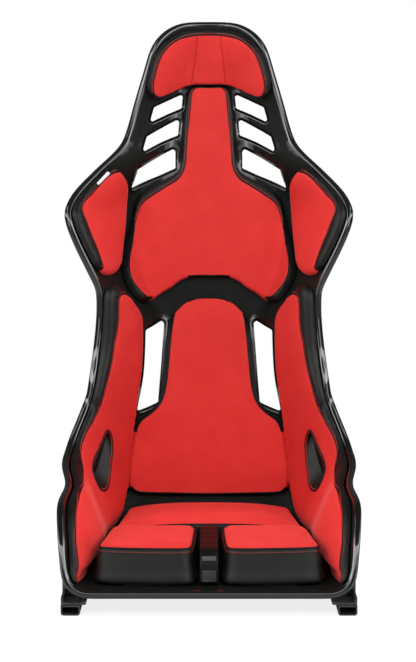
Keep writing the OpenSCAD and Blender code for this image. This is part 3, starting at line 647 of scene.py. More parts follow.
OUTLINE = shell_outline(5.0)
WINDOWS = {
    "harness_upper": ([[54, 1275], [56, 1257], [116, 1232], [110, 1252]], 6.5),
    "harness_middle": ([[61, 1227], [63, 1205], [133, 1178], [125, 1197]], 6.5),
    "harness_lower": ([[68, 1170], [70, 1142], [148, 1104], [145, 1137]], 6.5),
    "waist": ([[90, 835], [136, 799], [141, 660], [138, 661], [102, 686]], 7),
    "lap": ([[298, 512], [284, 508], [271, 443], [282, 418], [308, 406], [325, 419], [315, 492]], 9),
}


def window(corners, r):
    """Outline of a window on the right-hand side, with corners of radius r."""
    corners = np.asarray(corners, float)
    at = corners.mean(0)[None]
    n = skin_normal(at)[0]
    ax = unit(skin(at + [1, 0])[0] - skin(at - [1, 0])[0])
    ay = np.cross(n, ax)
    plane = np.column_stack([ax, ay])
    flat = (skin(corners) - skin(at)) @ plane
    if np.cross(flat[1] - flat[0], flat[2] - flat[1]) < 0:
        flat = flat[::-1]
    out = []
    for a, b, c in zip(np.roll(flat, 1, 0), flat, np.roll(flat, -1, 0)):
        t0 = math.atan2(*(b - a)[::-1]) - math.pi / 2
        t1 = math.atan2(*(c - b)[::-1]) - math.pi / 2
        turn = (t1 - t0) % (2 * math.pi)
        for t in np.linspace(t0, t0 + turn, max(2, round(turn * r / 1.5))):
            out.append(b + r * np.array([math.cos(t), math.sin(t)]))
    out = np.array(out)
    p = at + out * 0.5
    for _ in range(14):
        a, b = stretch(p)
        miss = out - (skin(p) - skin(at)) @ plane
        ua, ub = a @ plane, b @ plane
        det = ua[:, 0] * ub[:, 1] - ua[:, 1] * ub[:, 0]
        p = p + np.column_stack([(miss[:, 0] * ub[:, 1] - miss[:, 1] * ub[:, 0]) / det,
                                 (miss[:, 1] * ua[:, 0] - miss[:, 0] * ua[:, 1]) / det])
    return even(p, 3.0)


CUTS = {}
for name, (corners, r) in WINDOWS.items():
    CUTS[name + "_right"] = window(corners, r)
    CUTS[name + "_left"] = mirrored(CUTS[name + "_right"])
print("windows:", {k: len(v) for k, v in CUTS.items()})

# %% [markdown]
# ## The shell
# The real shell is moulded in one piece, about 5 mm thick, with its edge rolled outwards
# so that it is stiff and smooth to the touch. Here the pattern is filled once, laid on the
# mould as the inner face and again one wall lower as the outer face, and the two are
# joined round the rim by the rolled section and round each window by a full round.

# %% Shell
LIP_START, LIP_SOFTEN, WINDOW_HEM = 8.0, 6, 3.6
# Where the gloss of the rim and of a window's edge begins to fade, and over what width
RIM_GLOSS, WINDOW_GLOSS, GLOSS_FADE = 5.5, 2.5, 4
# Section of the rolled edge: outwards past the rim, and towards the sitter
LIP = [[-6.2, -0.05], [-4.6, -0.2], [-3.2, -0.55], [-2, -1.1], [-1, -1.9], [-0.2, -3.0],
       [0.4, -4.3], [0.75, -5.8], [0.8, -7.4], [0.8, -9.4], [0.65, -11.2], [0, -12.5],
       [-1.1, -13], [-2.3, -12.8], [-3.3, -11.9], [-3.8, -10.6], [-4.1, -8.8], [-4.5, -7.2]]
ROUND = [[2.4, 0], [1.5, -0.18], [0.7, -0.7], [0.18, -1.5], [0, -2.4],
         [0.18, -3.3], [0.7, -4.1], [1.5, -4.62], [2.4, -4.8]]


def edge_frame(loop, times):
    """Points, outward directions and normals along an anticlockwise line, in millimetres."""
    p, n = soften(skin(loop), times), unit(soften(skin_normal(loop), times))
    out = soften(unit(np.cross(np.roll(p, -1, 0) - np.roll(p, 1, 0), n)), times)
    return p, unit(out - (out * n).sum(1)[:, None] * n), n


def make_shell():
    """The one moulding: inner and outer face, the rolled rim and the rounded windows."""
    hems = [inset(cut[::-1], WINDOW_HEM)[::-1] for cut in CUTS.values()]
    face, triangles = fill([inset(OUTLINE, LIP_START)], hems, gap=8.0)
    count = len(face)
    points = [lifted(face, 0), lifted(face, -SHELL_T)]
    faces = [tuple(t) for t in triangles] + [tuple(t[::-1] + count) for t in triangles]
    total = 2 * count

    def add_rings(loop, start, section, times=0):
        """Rings of points along a line, from the inner face round to the outer one."""
        nonlocal total
        first = match(face, start)
        p, out, n = edge_frame(loop, times)
        rings = [first]
        for o, up in section:
            points.append((p + o * out + up * n) * MM)
            rings.append(list(range(total, total + len(p))))
            total += len(p)
        rings.append([i + count for i in first])
        return rings

    faces.extend(ring_faces(add_rings(OUTLINE, inset(OUTLINE, LIP_START), LIP, LIP_SOFTEN)))
    for cut, hem in zip(CUTS.values(), hems):
        rings = add_rings(cut, hem, [[-o, up] for o, up in ROUND])
        faces.extend(f[::-1] for f in ring_faces(rings))
    piece = new_piece("shell_moulding", np.vstack(points), faces, [GLOSS])
    inner = np.clip((away(face, OUTLINE) - RIM_GLOSS) / GLOSS_FADE, 0, 1)
    for cut in CUTS.values():
        inner = np.minimum(inner, np.clip((away(face, cut) - WINDOW_GLOSS) / GLOSS_FADE, 0, 1))
    mark = piece.data.attributes.new("inner", "FLOAT", "POINT")
    mark.data.foreach_set("value", np.r_[inner, 0.5 * inner, np.zeros(total - 2 * count)])
    outward(piece)
    return piece


shell = make_shell()
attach(shell, "root")
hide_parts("shell")
print("shell:", len(shell.data.polygons), "faces")

# %% [markdown]
# ## Pads
# A pad is foam on a stiff board, covered in suede with a leather border, and stuck into
# the shell with hook tape. Its cover is sewn, so the suede rises between its seams and
# sinks a little along them. Each pad is filled from its outline and its seam, raised by a
# height that depends on how far a point is from both, and closed with a rounded wall.

# %% Pads
# Foot of a pad's wall: millimetres in from the outline, and share of its upright part
FOOT = [[1.4, 0.0], [0.4, 0.05], [0.0, 0.16]]
# Wall of a hole in a pad, from the rim down, and the width of the rim beside it
HOLE_WALL = [[2.2, 0.985], [0.9, 0.93], [0.2, 0.83], [0, 0.7], [0, 0.35], [0, 0.0]]
HOLE_HEM = 4.0
# Width of the groove along a seam and along a pleat; the suede puffs up inside its seam
SEAM_W, PLEAT_W, PUFF, PUFF_W = 1.4, 0.9, 0.7, 5
# Lines of points that carry the groove of a seam and of a pleat, off its middle
SEAM_LINES, PLEAT_LINES = (-2.6, -1.3, 0, 1.3, 2.6), (-1.8, -0.9, 0, 0.9, 1.8)
# How full a section of the rounded edge is: 2 is a circle
ROUNDNESS = 2.2


def runs(loop, keep):
    """The parts of a closed line where keep holds, as open lines."""
    if keep.all():
        return [np.vstack([loop, loop[:1]])]
    if not keep.any():
        return []
    first = int(np.argmin(keep))
    loop, keep = np.roll(loop, -first, 0), np.roll(keep, -first)
    cuts = np.flatnonzero(np.diff(keep.astype(int))) + 1
    parts = zip(np.split(loop, cuts), np.split(keep, cuts))
    return [part for part, on in parts if on[0] and len(part) > 3]


class Pad:
    """A padded piece: its outline, its seam, and its height over the ground.

    Its edge stands up for a share of the height, leans in by lean and is rounded over reach.
    """

    def __init__(self, outline, thick, seam=None, holes=(), base=2.0, drop=0.16, crown=45.0,
                 groove=1.5, pleats=(), gap=7.0, reach=5.0, stand=0.58, lean=0.0, hem=2.6):
        self.outline, self.thick, self.holes = outline, thick, holes
        self.base = base if callable(base) else lambda p: np.full(len(p), float(base))
        self.drop, self.crown, self.groove, self.pleats = drop, crown, groove, pleats
        self.gap, self.reach, self.stand, self.lean = gap, reach, stand, lean
        share = room(outline, lean + hem)
        self.slope, self.deep = lean * share, (lean + hem) * share
        self.rim = inset(outline, self.deep)
        self.seam = None
        if seam is not None:
            self.seam = even(soften(even(seam, 3.0)), 3.0)
            self.sewn = inside(self.seam, inset(outline, self.deep + 0.5))

    def bulge(self, far):
        """Share of the full height at a distance in from the outline."""
        x = 1 - np.clip((far - self.lean) / self.reach, 0, 1)
        return self.stand + (1 - self.stand) * (1 - x ** ROUNDNESS) ** (1 / ROUNDNESS)

    def rise(self, p, far):
        """Height over the underside, before its edge is rounded."""
        up = 1 - self.drop * (1 - np.clip((far - self.reach) / self.crown, 0, 1)) ** 2
        h = self.thick(p) * up
        if self.seam is not None and self.sewn.any():
            x = away(p, self.seam, self.sewn)
            h = h - self.groove * np.exp(-(x / SEAM_W) ** 2)
            h = h + PUFF * (1 - np.exp(-x / PUFF_W)) * inside(p, self.seam)
        for a, b, deep in self.pleats:
            a, b = np.asarray(a, float), np.asarray(b, float)
            t = np.clip((p - a) @ (b - a) / ((b - a) @ (b - a)), 0, 1)
            x = np.linalg.norm(p - a - t[:, None] * (b - a), axis=1)
            h = h - deep * np.exp(-(x / PLEAT_W) ** 2) + 0.2 * deep * np.exp(-((x - 4) / 3) ** 2)
        return h

    def height(self, p):
        """Height of the cover over the ground, in millimetres."""
        far = away(p, self.outline)
        return self.base(p) + self.rise(p, far) * self.bulge(far)

    def wall(self):
        """Rings of the wall: distance in from the outline, share of the height at the rim."""
        rings = [(d, h * self.stand) for d, h in FOOT]
        rings += [(self.slope * u, self.stand * u) for u in (0.3, 0.5, 0.7, 0.85, 1)]
        for u in (0.05, 0.2, 0.5):
            d = self.slope + (self.deep - self.slope) * u
            rings.append((d, self.bulge(d)))
        return [(d, h / self.bulge(self.deep)) for d, h in rings]

    def seam_lines(self):
        """The parts of the seam's lines that lie on the top of the pad."""
        fence = inset(self.outline, self.deep + 0.5)
        for d in SEAM_LINES:
            line = inset(self.seam, d) if d else self.seam
            yield from runs(line, inside(line, fence))

    def make(self, name, inner, border):
        """The closed cover: its top, its wall, the walls of its holes and its underside."""
        lines = [] if self.seam is None else list(self.seam_lines())
        for a, b, _ in self.pleats:
            a, b = np.asarray(a, float), np.asarray(b, float)
            across = unit(np.array([-(b - a)[1], (b - a)[0]]))
            for d in PLEAT_LINES:
                lines.append(a + (b - a) * np.linspace(0, 1, 24)[:, None] + across * d)
        hems = [inset(cut[::-1], HOLE_HEM)[::-1] for cut in self.holes]
        face, triangles = fill([self.rim], hems, lines, self.gap)
        count = len(face)
        points = [lifted(face, self.height(face)), lifted(face, self.base(face))]
        faces = [tuple(t) for t in triangles] + [tuple(t[::-1] + count) for t in triangles]
        kinds = list(self.is_inner(face[triangles].mean(1))) + [0] * len(triangles)
        total = 2 * count
        sides = [(self.outline, self.rim, self.wall())]
        sides += [(cut[::-1], hem[::-1], HOLE_WALL[::-1]) for cut, hem in zip(self.holes, hems)]
        for edge, rim, wall in sides:
            top = match(face, rim)
            high = self.height(rim) - self.base(rim)
            rings = [[i + count for i in top]]
            for d, share in wall:
                p = inset(edge, d)
                points.append(lifted(p, self.base(p) + high * share))
                rings.append(list(range(total, total + len(p))))
                total += len(p)
            rings.append(top)
            faces += ring_faces(rings)
            red = np.zeros(len(edge), int)
            if edge is self.outline and (self.seam is not None or inner == border):
                near = inset(edge, 1.2)
                red = self.is_inner((near + np.roll(near, -1, 0)) / 2)
            kinds += list(red) * (len(rings) - 1)
        return closed_piece(name, np.vstack(points), faces, [border, inner], kinds)

    def is_inner(self, middle):
        """1 where a face has the inner material, 0 where it has the border's."""
        if self.seam is None:
            return np.ones(len(middle), int)
        return inside(middle, self.seam).astype(int)


def finished(piece, slot=None, *nodes):
    """Every piece here rides on the one body, and stands for its CAD nodes."""
    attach(piece, "root")
    if nodes:
        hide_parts(*nodes)
    return piece


def middle_outline(lower, upper, half):
    """Outline of a pad across the middle, from its lower and upper edge and its half width."""
    u = np.linspace(0, 1, 60)
    low, high = curve(lower, u)[:, 1], curve(upper, u)[:, 1]
    s = np.linspace(low[-1], high[-1], 80)[1:-1]
    right = np.vstack([np.column_stack([u * curve(half, low)[:, 1], low]),
                       np.column_stack([curve(half, s)[:, 1], s]),
                       np.column_stack([u * curve(half, high)[:, 1], high])[::-1]])
    return soften(even(both_halves(right), 4.0), 2)


def level(t):
    """The same thickness everywhere."""
    return lambda p: np.full(len(p), float(t))


# %% [markdown]
# ### Head, back and lumbar pads
# The three pads in the middle are alike on both sides. The head pad has two pleats, the
# back pad is a T whose stem runs up to the head, and the lumbar pad ends in the seat.

# %% Middle pads
# Thickness of each pad, and the edge of its suede
HEAD_T, BACK_T, LUMBAR_T = 19, 19, 20
HEAD_RED = [[0, 1300], [38, 1299], [76, 1288], [97, 1279], [112, 1275], [121, 1278], [126, 1287],
            [127, 1300], [122, 1322], [116, 1341], [107, 1359], [92, 1374], [72, 1386], [41, 1393],
            [0, 1394]]
BACK_RED = [[0, 929], [36, 928], [53, 920], [70, 909], [90, 897], [121, 874], [147, 863],
            [160, 866], [174, 882], [186, 902], [191, 925], [187, 946], [171, 984], [154, 1018],
            [144, 1040], [134, 1057], [123, 1071], [109, 1081], [94, 1091], [75, 1103],
            [58, 1114], [49, 1128], [44, 1145], [43, 1180], [42, 1205], [39, 1230], [36, 1260],
            [34, 1284], [26, 1292], [0, 1292]]
LUMBAR_RED = [[0, 511], [60, 512], [124, 514], [155, 518], [169, 524], [174, 535], [175, 554],
              [167, 584], [162, 606], [158, 625], [146, 641], [127, 656], [107, 672], [95, 688],
              [90, 706], [88, 727], [87, 754], [84, 782], [81, 808], [75, 833], [67, 852],
              [56, 867], [40, 878], [22, 884], [0, 885]]


def red_loop(right):
    return smooth_loop(both_halves(right))


head = Pad(middle_outline(
    [[0, 1299], [0.3, 1298], [0.56, 1287], [0.72, 1279], [0.84, 1273], [0.94, 1277], [1, 1292]],
    [[0, 1404], [0.45, 1402], [0.75, 1396], [0.93, 1381], [1, 1355]],
    [[1270, 133], [1296, 134], [1313, 131], [1334, 125], [1355, 117], [1373, 107], [1387, 94],
     [1402, 86]]),
    level(HEAD_T), red_loop(HEAD_RED), reach=7.0,
    pleats=[((side * 35, 1303), (side * 27, 1391), 3.0) for side in (-1, 1)])
back = Pad(middle_outline(
    [[0, 927], [0.2, 926], [0.3, 918], [0.36, 909], [0.47, 897], [0.64, 873], [0.78, 861],
     [0.86, 864], [0.94, 881], [1, 902]],
    [[0, 1294], [0.75, 1294], [1, 1286]],
    [[902, 188], [925, 194], [945, 190], [984, 174], [1018, 157], [1045, 149], [1074, 141],
     [1087, 131], [1096, 115], [1108, 94], [1117, 77], [1126, 62], [1143, 53], [1160, 51],
     [1190, 51], [1220, 50], [1250, 48], [1270, 45], [1293, 41]]),
    level(BACK_T), red_loop(BACK_RED))
lumbar = Pad(middle_outline(
    [[0, 509], [0.6, 510], [0.85, 514], [0.95, 520], [1, 531]],
    [[0, 888], [0.45, 885], [0.75, 874], [0.9, 862], [1, 850]],
    [[505, 168], [531, 175], [554, 176], [584, 168], [607, 163], [625, 160], [641, 148],
     [656, 129], [672, 109], [688, 97], [706, 93], [726, 91], [754, 90], [782, 87], [808, 84],
     [833, 78], [850, 71], [886, 60]]),
    level(LUMBAR_T), red_loop(LUMBAR_RED))
PADS = {"head_pad": head, "upper_back_pad": back, "lumbar_pad": lumbar}

# %% [markdown]
# ### Shoulder and side pads
# These lie on the walls. Their outer edge follows the rim, with a gap that widens towards
# both ends, and their leather border faces forwards, where a driver slides in and out.

# %% Side pads
SHOULDER_INNER = [[892, 266], [900, 246], [920, 223], [943, 206], [963, 199], [1000, 188],
                  [1033, 178], [1068, 174], [1110, 180], [1127, 190], [1142, 206], [1150, 218]]
SHOULDER_GAP = [[892, 24], [905, 11], [925, 6], [1060, 5], [1095, 6], [1125, 10], [1142, 17],
                [1150, 25]]
SIDE_INNER = [[12, 224], [60, 215], [150, 206], [240, 199], [330, 191], [400, 186], [450, 182],
              [489, 180], [508, 179], [534, 179], [560, 179], [582, 173], [607, 168], [694, 163],
              [802, 161], [818, 163], [832, 172], [843, 190], [852, 210], [862, 232]]
# Half width where the side pad reaches its full thickness, with a thin flap inside it
SIDE_FOOT = [[12, 240], [60, 238], [200, 236], [330, 228], [400, 206], [450, 187], [489, 180],
             [500, 150], [862, 150]]
SIDE_GAP = [[12, 84], [25, 56], [42, 28], [70, 12], [120, 6], [500, 4], [800, 5], [835, 10],
            [852, 20], [862, 34]]
SIDE_THICK = [[12, 18, 12], [40, 31, 14], [100, 39, 17], [240, 44, 18], [350, 39, 14],
              [450, 32, 13], [560, 25, 16], [640, 23, 20], [862, 18, 18]]
FLAP_DROP, FLAP_EASE, CREST_EASE = 0.72, 12, 13
SHOULDER_T = 16
SIDE_RED = [[150, 30], [200, 18], [247, 21], [270, 28], [293, 36], [314, 51], [330, 70],
            [339, 95], [344, 130], [346, 185], [345, 240], [345, 290], [348, 335], [357, 362],
            [369, 383], [376, 403], [378, 435], [375, 460], [368, 482], [358, 505], [340, 538],
            [331, 570], [316, 608], [294, 646], [270, 691], [254, 731], [245, 772], [243, 811],
            [240, 832], [231, 841], [219, 846], [203, 845], [186, 852], [166, 838], [150, 812],
            [148, 694], [148, 607], [152, 540], [160, 489], [174, 445], [194, 400], [216, 330],
            [222, 200], [222, 120]]
SHOULDER_RED = [[278, 884], [284, 899], [290, 924], [298, 959], [308, 993], [319, 1030],
                [328, 1056], [329, 1076], [319, 1090], [300, 1101], [273, 1118], [247, 1133],
                [228, 1140], [217, 1142], [203, 1141], [188, 1135], [174, 1118], [166, 1072],
                [171, 1036], [181, 1000], [192, 960], [200, 941], [216, 917], [238, 897],
                [258, 884]]
LAP_HOLE = [[306, 520], [318, 507], [327, 484], [333, 459], [337, 435], [336, 404], [327, 389],
            [313, 382], [300, 383], [287, 397], [277, 420], [274, 442], [276, 460], [279, 477],
            [281, 494], [284, 511], [290, 520], [298, 523]]


def wall_outline(inner, gap):
    """Outline of a pad on the right-hand wall, from its inner edge and its gap to the rim."""
    s = np.linspace(inner[0][0], inner[-1][0], 220)
    outer = np.column_stack([half_length(s) - curve(gap, s)[:, 1], s])
    near = np.column_stack([curve(inner, s)[:, 1], s])
    return soften(even(np.vstack([outer, near[::-1]]), 4.0), 2)


def side_profile(l, s):
    """Thickness over the wall; beside the cushions a thin flap runs on down to the floor."""
    inner, outer = curve(SIDE_INNER, s)[:, 1], half_length(s) - curve(SIDE_GAP, s)[:, 1]
    foot = np.maximum(curve(SIDE_FOOT, s)[:, 1], inner)
    near, far = curve(SIDE_THICK, s)[:, 1:].T
    t = near + (far - near) * np.clip((l - foot) / (outer - foot), 0, 1)
    crest = foot + np.clip((foot - inner) * 0.5, 0, FLAP_EASE)
    return t * (1 - FLAP_DROP * ease((crest - l) / np.maximum(crest - inner, 1)))


def side_thickness(p):
    """The profile with its crest eased, as foam under a stretched cover."""
    steps = (-CREST_EASE, 0, CREST_EASE)
    return np.mean([side_profile(np.abs(p[:, 0]) + step, p[:, 1]) for step in steps], 0)


lap_cut = smooth_loop(LAP_HOLE, 3.0)
for side, word in SIDES:
    def turned(loop):
        return loop if side > 0 else mirrored(loop)
    PADS["shoulder_pad_" + word] = Pad(
        turned(wall_outline(SHOULDER_INNER, SHOULDER_GAP)), level(SHOULDER_T),
        turned(smooth_loop(SHOULDER_RED)), reach=9.0, stand=0.3)
    PADS["side_pad_" + word] = Pad(
        turned(wall_outline(SIDE_INNER, SIDE_GAP)), side_thickness,
        turned(smooth_loop(SIDE_RED)), holes=[turned(lap_cut)], reach=12.0, stand=0.25)

# %% Make the pads


def cover(name, pad, node):
    """The sewn cover of a pad or cushion, in suede with a leather border."""
    piece = finished(pad.make(name, SUEDE, LEATHER), "suede", node)
    print(node, len(piece.data.polygons), "faces")


for name, pad in PADS.items():
    cover(name + "_cover", pad, name)

# %% [markdown]
# ### Cushions
# The seat has one cushion at the back and two in front, with a channel for the crotch
# belt between them. They stand on the flat floor, so they are cut for a flat table.

# %% Cushions
# Half width of the cushions along the floor, and the gap that the hook tape fills under them
CUSHION_SIDE = [[0, 203], [30, 200], [60, 196], [150, 187], [240, 179], [440, 155]]
UNDER_GAP = 3.6
SEAT_TOP, SEAT_FALL = 71, 9
THIGH_T, THIGH_SINK, THIGH_DRAW = 65.4, 2.5, 13
# Front and rear edge along the floor, the channel's half width at its front and rear, and how
# often the corners are softened
THIGH_FRONT, THIGH_REAR, SEAT_FRONT, SEAT_REAR = 27, 240, 245, 438
CHANNEL = (20, 13)
THIGH_ROUND, SEAT_ROUND = 70, 5
ground.append(table)


def under_seat(p):
    """Underside of a cushion, which follows the bend behind the floor."""
    y = np.clip(p[:, 1] - FLOOR_L, 0, BEND_R - 4)
    return BEND_R - np.sqrt((BEND_R - UNDER_GAP) ** 2 - y ** 2)


def cushion_outline(y0, y1, inner=None):
    """Rounded four-sided outline between the walls, or between the channel and a wall."""
    y = np.linspace(y0, y1, 40)
    outer = np.column_stack([curve(CUSHION_SIDE, y)[:, 1] - 1, y])
    other = outer * [-1, 1]
    if inner is not None:
        other = np.column_stack([np.interp(y, [0, THIGH_REAR], inner), y])
    return even(np.vstack([outer, other[::-1]]), 4.0)


def seat_thickness(p):
    """The rear cushion's top is level in the middle and falls away to the sides."""
    return SEAT_TOP - under_seat(p) - SEAT_FALL * (np.abs(p[:, 0]) / 135) ** 3


def thigh_thickness(p):
    """The thigh cushions sink a little towards the rear cushion."""
    return THIGH_T - THIGH_SINK * np.clip((p[:, 1] - 170) / 70, 0, 1) ** 2


def thigh_outline():
    """The right-hand one; its front edge draws back towards the wall."""
    loop = soften(cushion_outline(THIGH_FRONT, THIGH_REAR, CHANNEL), THIGH_ROUND)
    back = THIGH_DRAW * (loop[:, 0] / 195) ** 2
    loop[:, 1] += back * np.clip(1.2 - loop[:, 1] / 150, 0, 1)
    return loop


seat = Pad(soften(cushion_outline(SEAT_FRONT, SEAT_REAR), SEAT_ROUND), seat_thickness,
           base=under_seat, drop=0.08, crown=60, reach=12.0, stand=0.8, lean=5.0)
thighs = {}
for side, word in SIDES:
    loop = thigh_outline() if side > 0 else mirrored(thigh_outline())
    thighs[word] = Pad(loop, thigh_thickness, base=UNDER_GAP, drop=0.06, crown=50, reach=11.0,
                       stand=0.82, lean=8.0)

cover("seat_cushion_cover", seat, "seat_cushion")
for word, pad in thighs.items():
    cover("thigh_cushion_cover_" + word, pad, "thigh_cushion_" + word)
ground.pop()


# %% [markdown]
# ## Piping and stitches
# A seam between suede and leather has a thin leather piping in it, and one row of red
# stitches beside it on the leather. A stitch is a short, thick thread that dips into the
# leather at both ends, every four millimetres.

# %% Tubes and stitches
CORD_SIDES = 8
STITCH_L, STITCH_W, STITCH_STEP, STITCH_SIDES = 3.0, 1.2, 4.2, 5


def circle(n):
    """The directions of n points round a cord, as cosines and sines."""
    a = np.arange(n) * 2 * math.pi / n
    return np.cos(a)[None, :, None], np.sin(a)[None, :, None]


def tube(name, p, normals, radius, material, closed=True):
    """A round cord along points in metres, closed on itself or with closed ends."""
    ahead = np.roll(p, -1, 0) - np.roll(p, 1, 0)
    if not closed:
        ahead[0], ahead[-1] = p[1] - p[0], p[-1] - p[-2]
    ahead = unit(ahead)
    side = unit(np.cross(ahead, normals))
    up = np.cross(side, ahead)
    c, s = circle(CORD_SIDES)
    points = p[:, None] + radius * (c * side[:, None] + s * up[:, None])
    rings = np.arange(len(p) * CORD_SIDES).reshape(-1, CORD_SIDES).tolist()
    faces = ring_faces(rings + [rings[0]] if closed else rings)
    if not closed:
        faces += [tuple(rings[0][::-1]), tuple(rings[-1])]
    return closed_piece(name, points.reshape(-1, 3), faces, [material])


def stitches(name, p, ahead, normals, material):
    """Short threads at points in metres, lying along ahead and standing up along normals."""
    side = np.cross(ahead, normals)
    n = STITCH_SIDES
    c, s = circle(n)
    points, faces = [], []
    along = [-0.5, -0.36, 0, 0.36, 0.5]
    size = [0, 0.8, 1, 0.8, 0]
    high = [-0.55, 0.1, 0.45, 0.1, -0.55]
    for u, r, h in zip(along, size, high):
        middle = p + (u * STITCH_L * ahead + h * STITCH_W * normals) * MM
        ring = r * STITCH_W / 2 * MM * (c * side[:, None] + s * normals[:, None])
        points.append(middle[:, None] + (ring if r else 0))
    points = np.concatenate(points, axis=1)
    each = points.shape[1]
    rings = [[1 + n * i + k for k in range(n)] for i in range(3)]
    one = [(0, rings[0][(k + 1) % n], rings[0][k]) for k in range(n)]
    one += ring_faces(rings)
    one += [(each - 1, rings[2][k], rings[2][(k + 1) % n]) for k in range(n)]
    for i in range(len(p)):
        faces += [tuple(each * i + k for k in f) for f in one]
    return closed_piece(name, points.reshape(-1, 3), faces, [material])


def along_line(p):
    """Directions along a closed line of points."""
    return unit(np.roll(p, -1, 0) - np.roll(p, 1, 0))


# %% Seams of the pads


def joined(parts):
    """One object out of several."""
    only(parts[0])
    for part in parts[1:]:
        part.select_set(True)
    if len(parts) > 1:
        bpy.ops.object.join()
    return parts[0]


# Radius of the piping in metres, how far it sinks in, and how far its row of stitches is off
PIPING_R, PIPING_SINK, ROW_OFF = 0.0011, 0.1, 3.4
# The tag on the left shoulder covers a few stitches
TAG = np.array([[-239, 1143.5], [-276, 1124.5], [-274.2, 1120.9], [-237.2, 1139.9]])
tag_room = TAG.mean(0) + (TAG - TAG.mean(0)) * 1.15
for name, pad in PADS.items():
    sewn = inside(pad.seam, inset(pad.outline, 1.6))
    cords = []
    for line in runs(pad.seam, sewn):
        closed = sewn.all()
        line = line[:-1] if closed else line
        middle = lifted(line, pad.height(line) - PIPING_SINK)
        cords.append(tube(name + "_piping", middle, skin_normal(line), PIPING_R, LEATHER, closed))
    if cords:
        finished(joined(cords), "leather")
    # The border of the lumbar pad is too narrow for stitches
    if name == "lumbar_pad":
        continue
    row = even(inset(pad.seam, -ROW_OFF), STITCH_STEP)
    row_at = lifted(row, pad.height(row) + 0.15)
    keep = inside(row, inset(pad.outline, 1.2)) & ~inside(row, tag_room)
    ahead = along_line(row_at)
    if keep.sum() > 8:
        finished(stitches(name + "_stitches", row_at[keep], ahead[keep],
                          skin_normal(row)[keep], RED_THREAD))
        print(name, int(keep.sum()), "stitches")

# %% Piping of the thigh cushions
THIGH_PIPING_R = 0.0015


def thigh_row(pad, off, gap, up, tilt):
    """A line round the top edge of a cushion, in metres, with normals that lean outwards."""
    row = even(inset(pad.outline, pad.slope + off), gap)
    out = unit(row - pad.rim.mean(0))
    normals = unit(np.column_stack([out, np.full(len(row), tilt)]))
    return lifted(row, pad.height(row) + up), normals


ground.append(table)
for word, pad in thighs.items():
    cord, normals = thigh_row(pad, 2.6, 4.0, 0.4, 1.2)
    finished(tube("thigh_piping_cord_" + word, cord, normals, THIGH_PIPING_R, LEATHER), "leather",
             "thigh_piping_" + word)
    row, normals = thigh_row(pad, 0.6, STITCH_STEP, -2.2, 0.8)
    finished(stitches("thigh_stitches_" + word, row, along_line(row), normals, RED_THREAD))
ground.pop()

# %% [markdown]
# ### Belt sleeves, tape and tag
# A leather sleeve lines each lap belt opening from the face of the pad to the outside of
# the shell. It is gathered a little, so it has soft folds. Strips of hook tape hold the
# pads, and a plain woven tag is sewn to the left shoulder pad.

# %% Lap belt sleeves
SLEEVE_POINTS = 132
# Place between the two lines, distance in from it, share of the height
SLEEVE = [(0, -2.2, 1.0), (0, -2.4, 1.035), (0, -1.6, 1.07), (0, -0.4, 1.075), (0, 0.7, 1.05),
          (0, 1.5, 1.0), (0.08, 2.0, 0.92), (0.2, 2.2, 0.8), (0.35, 2.3, 0.66), (0.5, 2.3, 0.5),
          (0.68, 2.2, 0.34), (0.85, 2.0, 0.16), (1, 1.8, 0.0), (1, 1.6, -0.16),
          (1, 0.8, -0.16), (1, 0.8, 0.0), (0.6, 0.3, 0.4), (0.2, 0.0, 0.8), (0.05, -1.4, 0.97)]


def numbered(loop, n):
    """The closed line with exactly n points, from its lowest one on."""
    loop = np.roll(loop, -int(np.argmin(loop[:, 1])), 0)
    q = np.vstack([loop, loop[:1]])
    far = np.r_[0, np.cumsum(np.linalg.norm(np.diff(q, axis=0), axis=1))]
    at = np.linspace(0, far[-1], n, endpoint=False)
    return np.column_stack([np.interp(at, far, q[:, i]) for i in (0, 1)])


def make_sleeve(name, pad, top, bottom):
    """The ring of a sleeve's section between a line on the pad and one on the shell."""
    n = SLEEVE_POINTS
    top, bottom = numbered(top, n), numbered(bottom, n)
    wave = np.arange(n) / n * 2 * math.pi
    high = pad.height(inset(top, -1.5))
    points, rings = [], []
    for mix, d, share in SLEEVE:
        loop = top * (1 - mix) + bottom * mix
        fold = 0.9 * np.sin(7 * wave + 5 * mix) + 0.6 * np.sin(13 * wave - 9 * mix + 1)
        d = d + (fold * 4 * mix * (1 - mix) if d > 1.9 else 0)
        points.append(lifted(inset(loop, d), high * share))
        rings.append([len(rings) * n + i for i in range(n)])
    return closed_piece(name, np.vstack(points), ring_faces(rings + [rings[0]]), [LEATHER])


for side, word in SIDES:
    loops = [lap_cut, CUTS["lap_right"]]
    if side < 0:
        loops = [mirrored(loop) for loop in loops]
    finished(make_sleeve("lap_belt_sleeve_" + word, PADS["side_pad_" + word], *loops), "leather",
             "lap_belt_bezel_" + word)

# %% Hook tape
# Middle of each strip on the pattern, and its two sides
TAPE_BACK = [[0, 1345, 50, 50], [0, 1235, 40, 50], [78, 1010, 60, 90], [-78, 1010, 60, 90],
             [0, 800, 60, 90], [60, 585, 60, 50], [-60, 585, 60, 50]]
TAPE_SIDES = [[255, 1045, 50, 50], [235, 760, 40, 90], [270, 610, 50, 50], [290, 240, 50, 90],
              [285, 110, 50, 50]]
TAPE_SEAT = [[100, 60, 90, 40], [100, 200, 90, 40], [80, 300, 90, 60], [-100, 60, 90, 40],
             [-100, 200, 90, 40], [-80, 300, 90, 60]]


def strip(l, s, w, h):
    """Rounded strip outline on the pattern, true to size along both sides."""
    a, b = stretch(np.array([[l, s]], float))
    grow = np.array([np.linalg.norm(a), np.linalg.norm(b)])
    half = np.array([w, h]) / 2 / grow
    corners = [(1, -1), (1, 1), (-1, 1), (-1, -1)]
    loop = np.vstack([np.linspace(np.array(u) * half, np.array(v) * half, 16, endpoint=False)
                      for u, v in zip(corners, corners[1:] + corners[:1])])
    return soften(even(loop + [l, s], 3.0), 3)


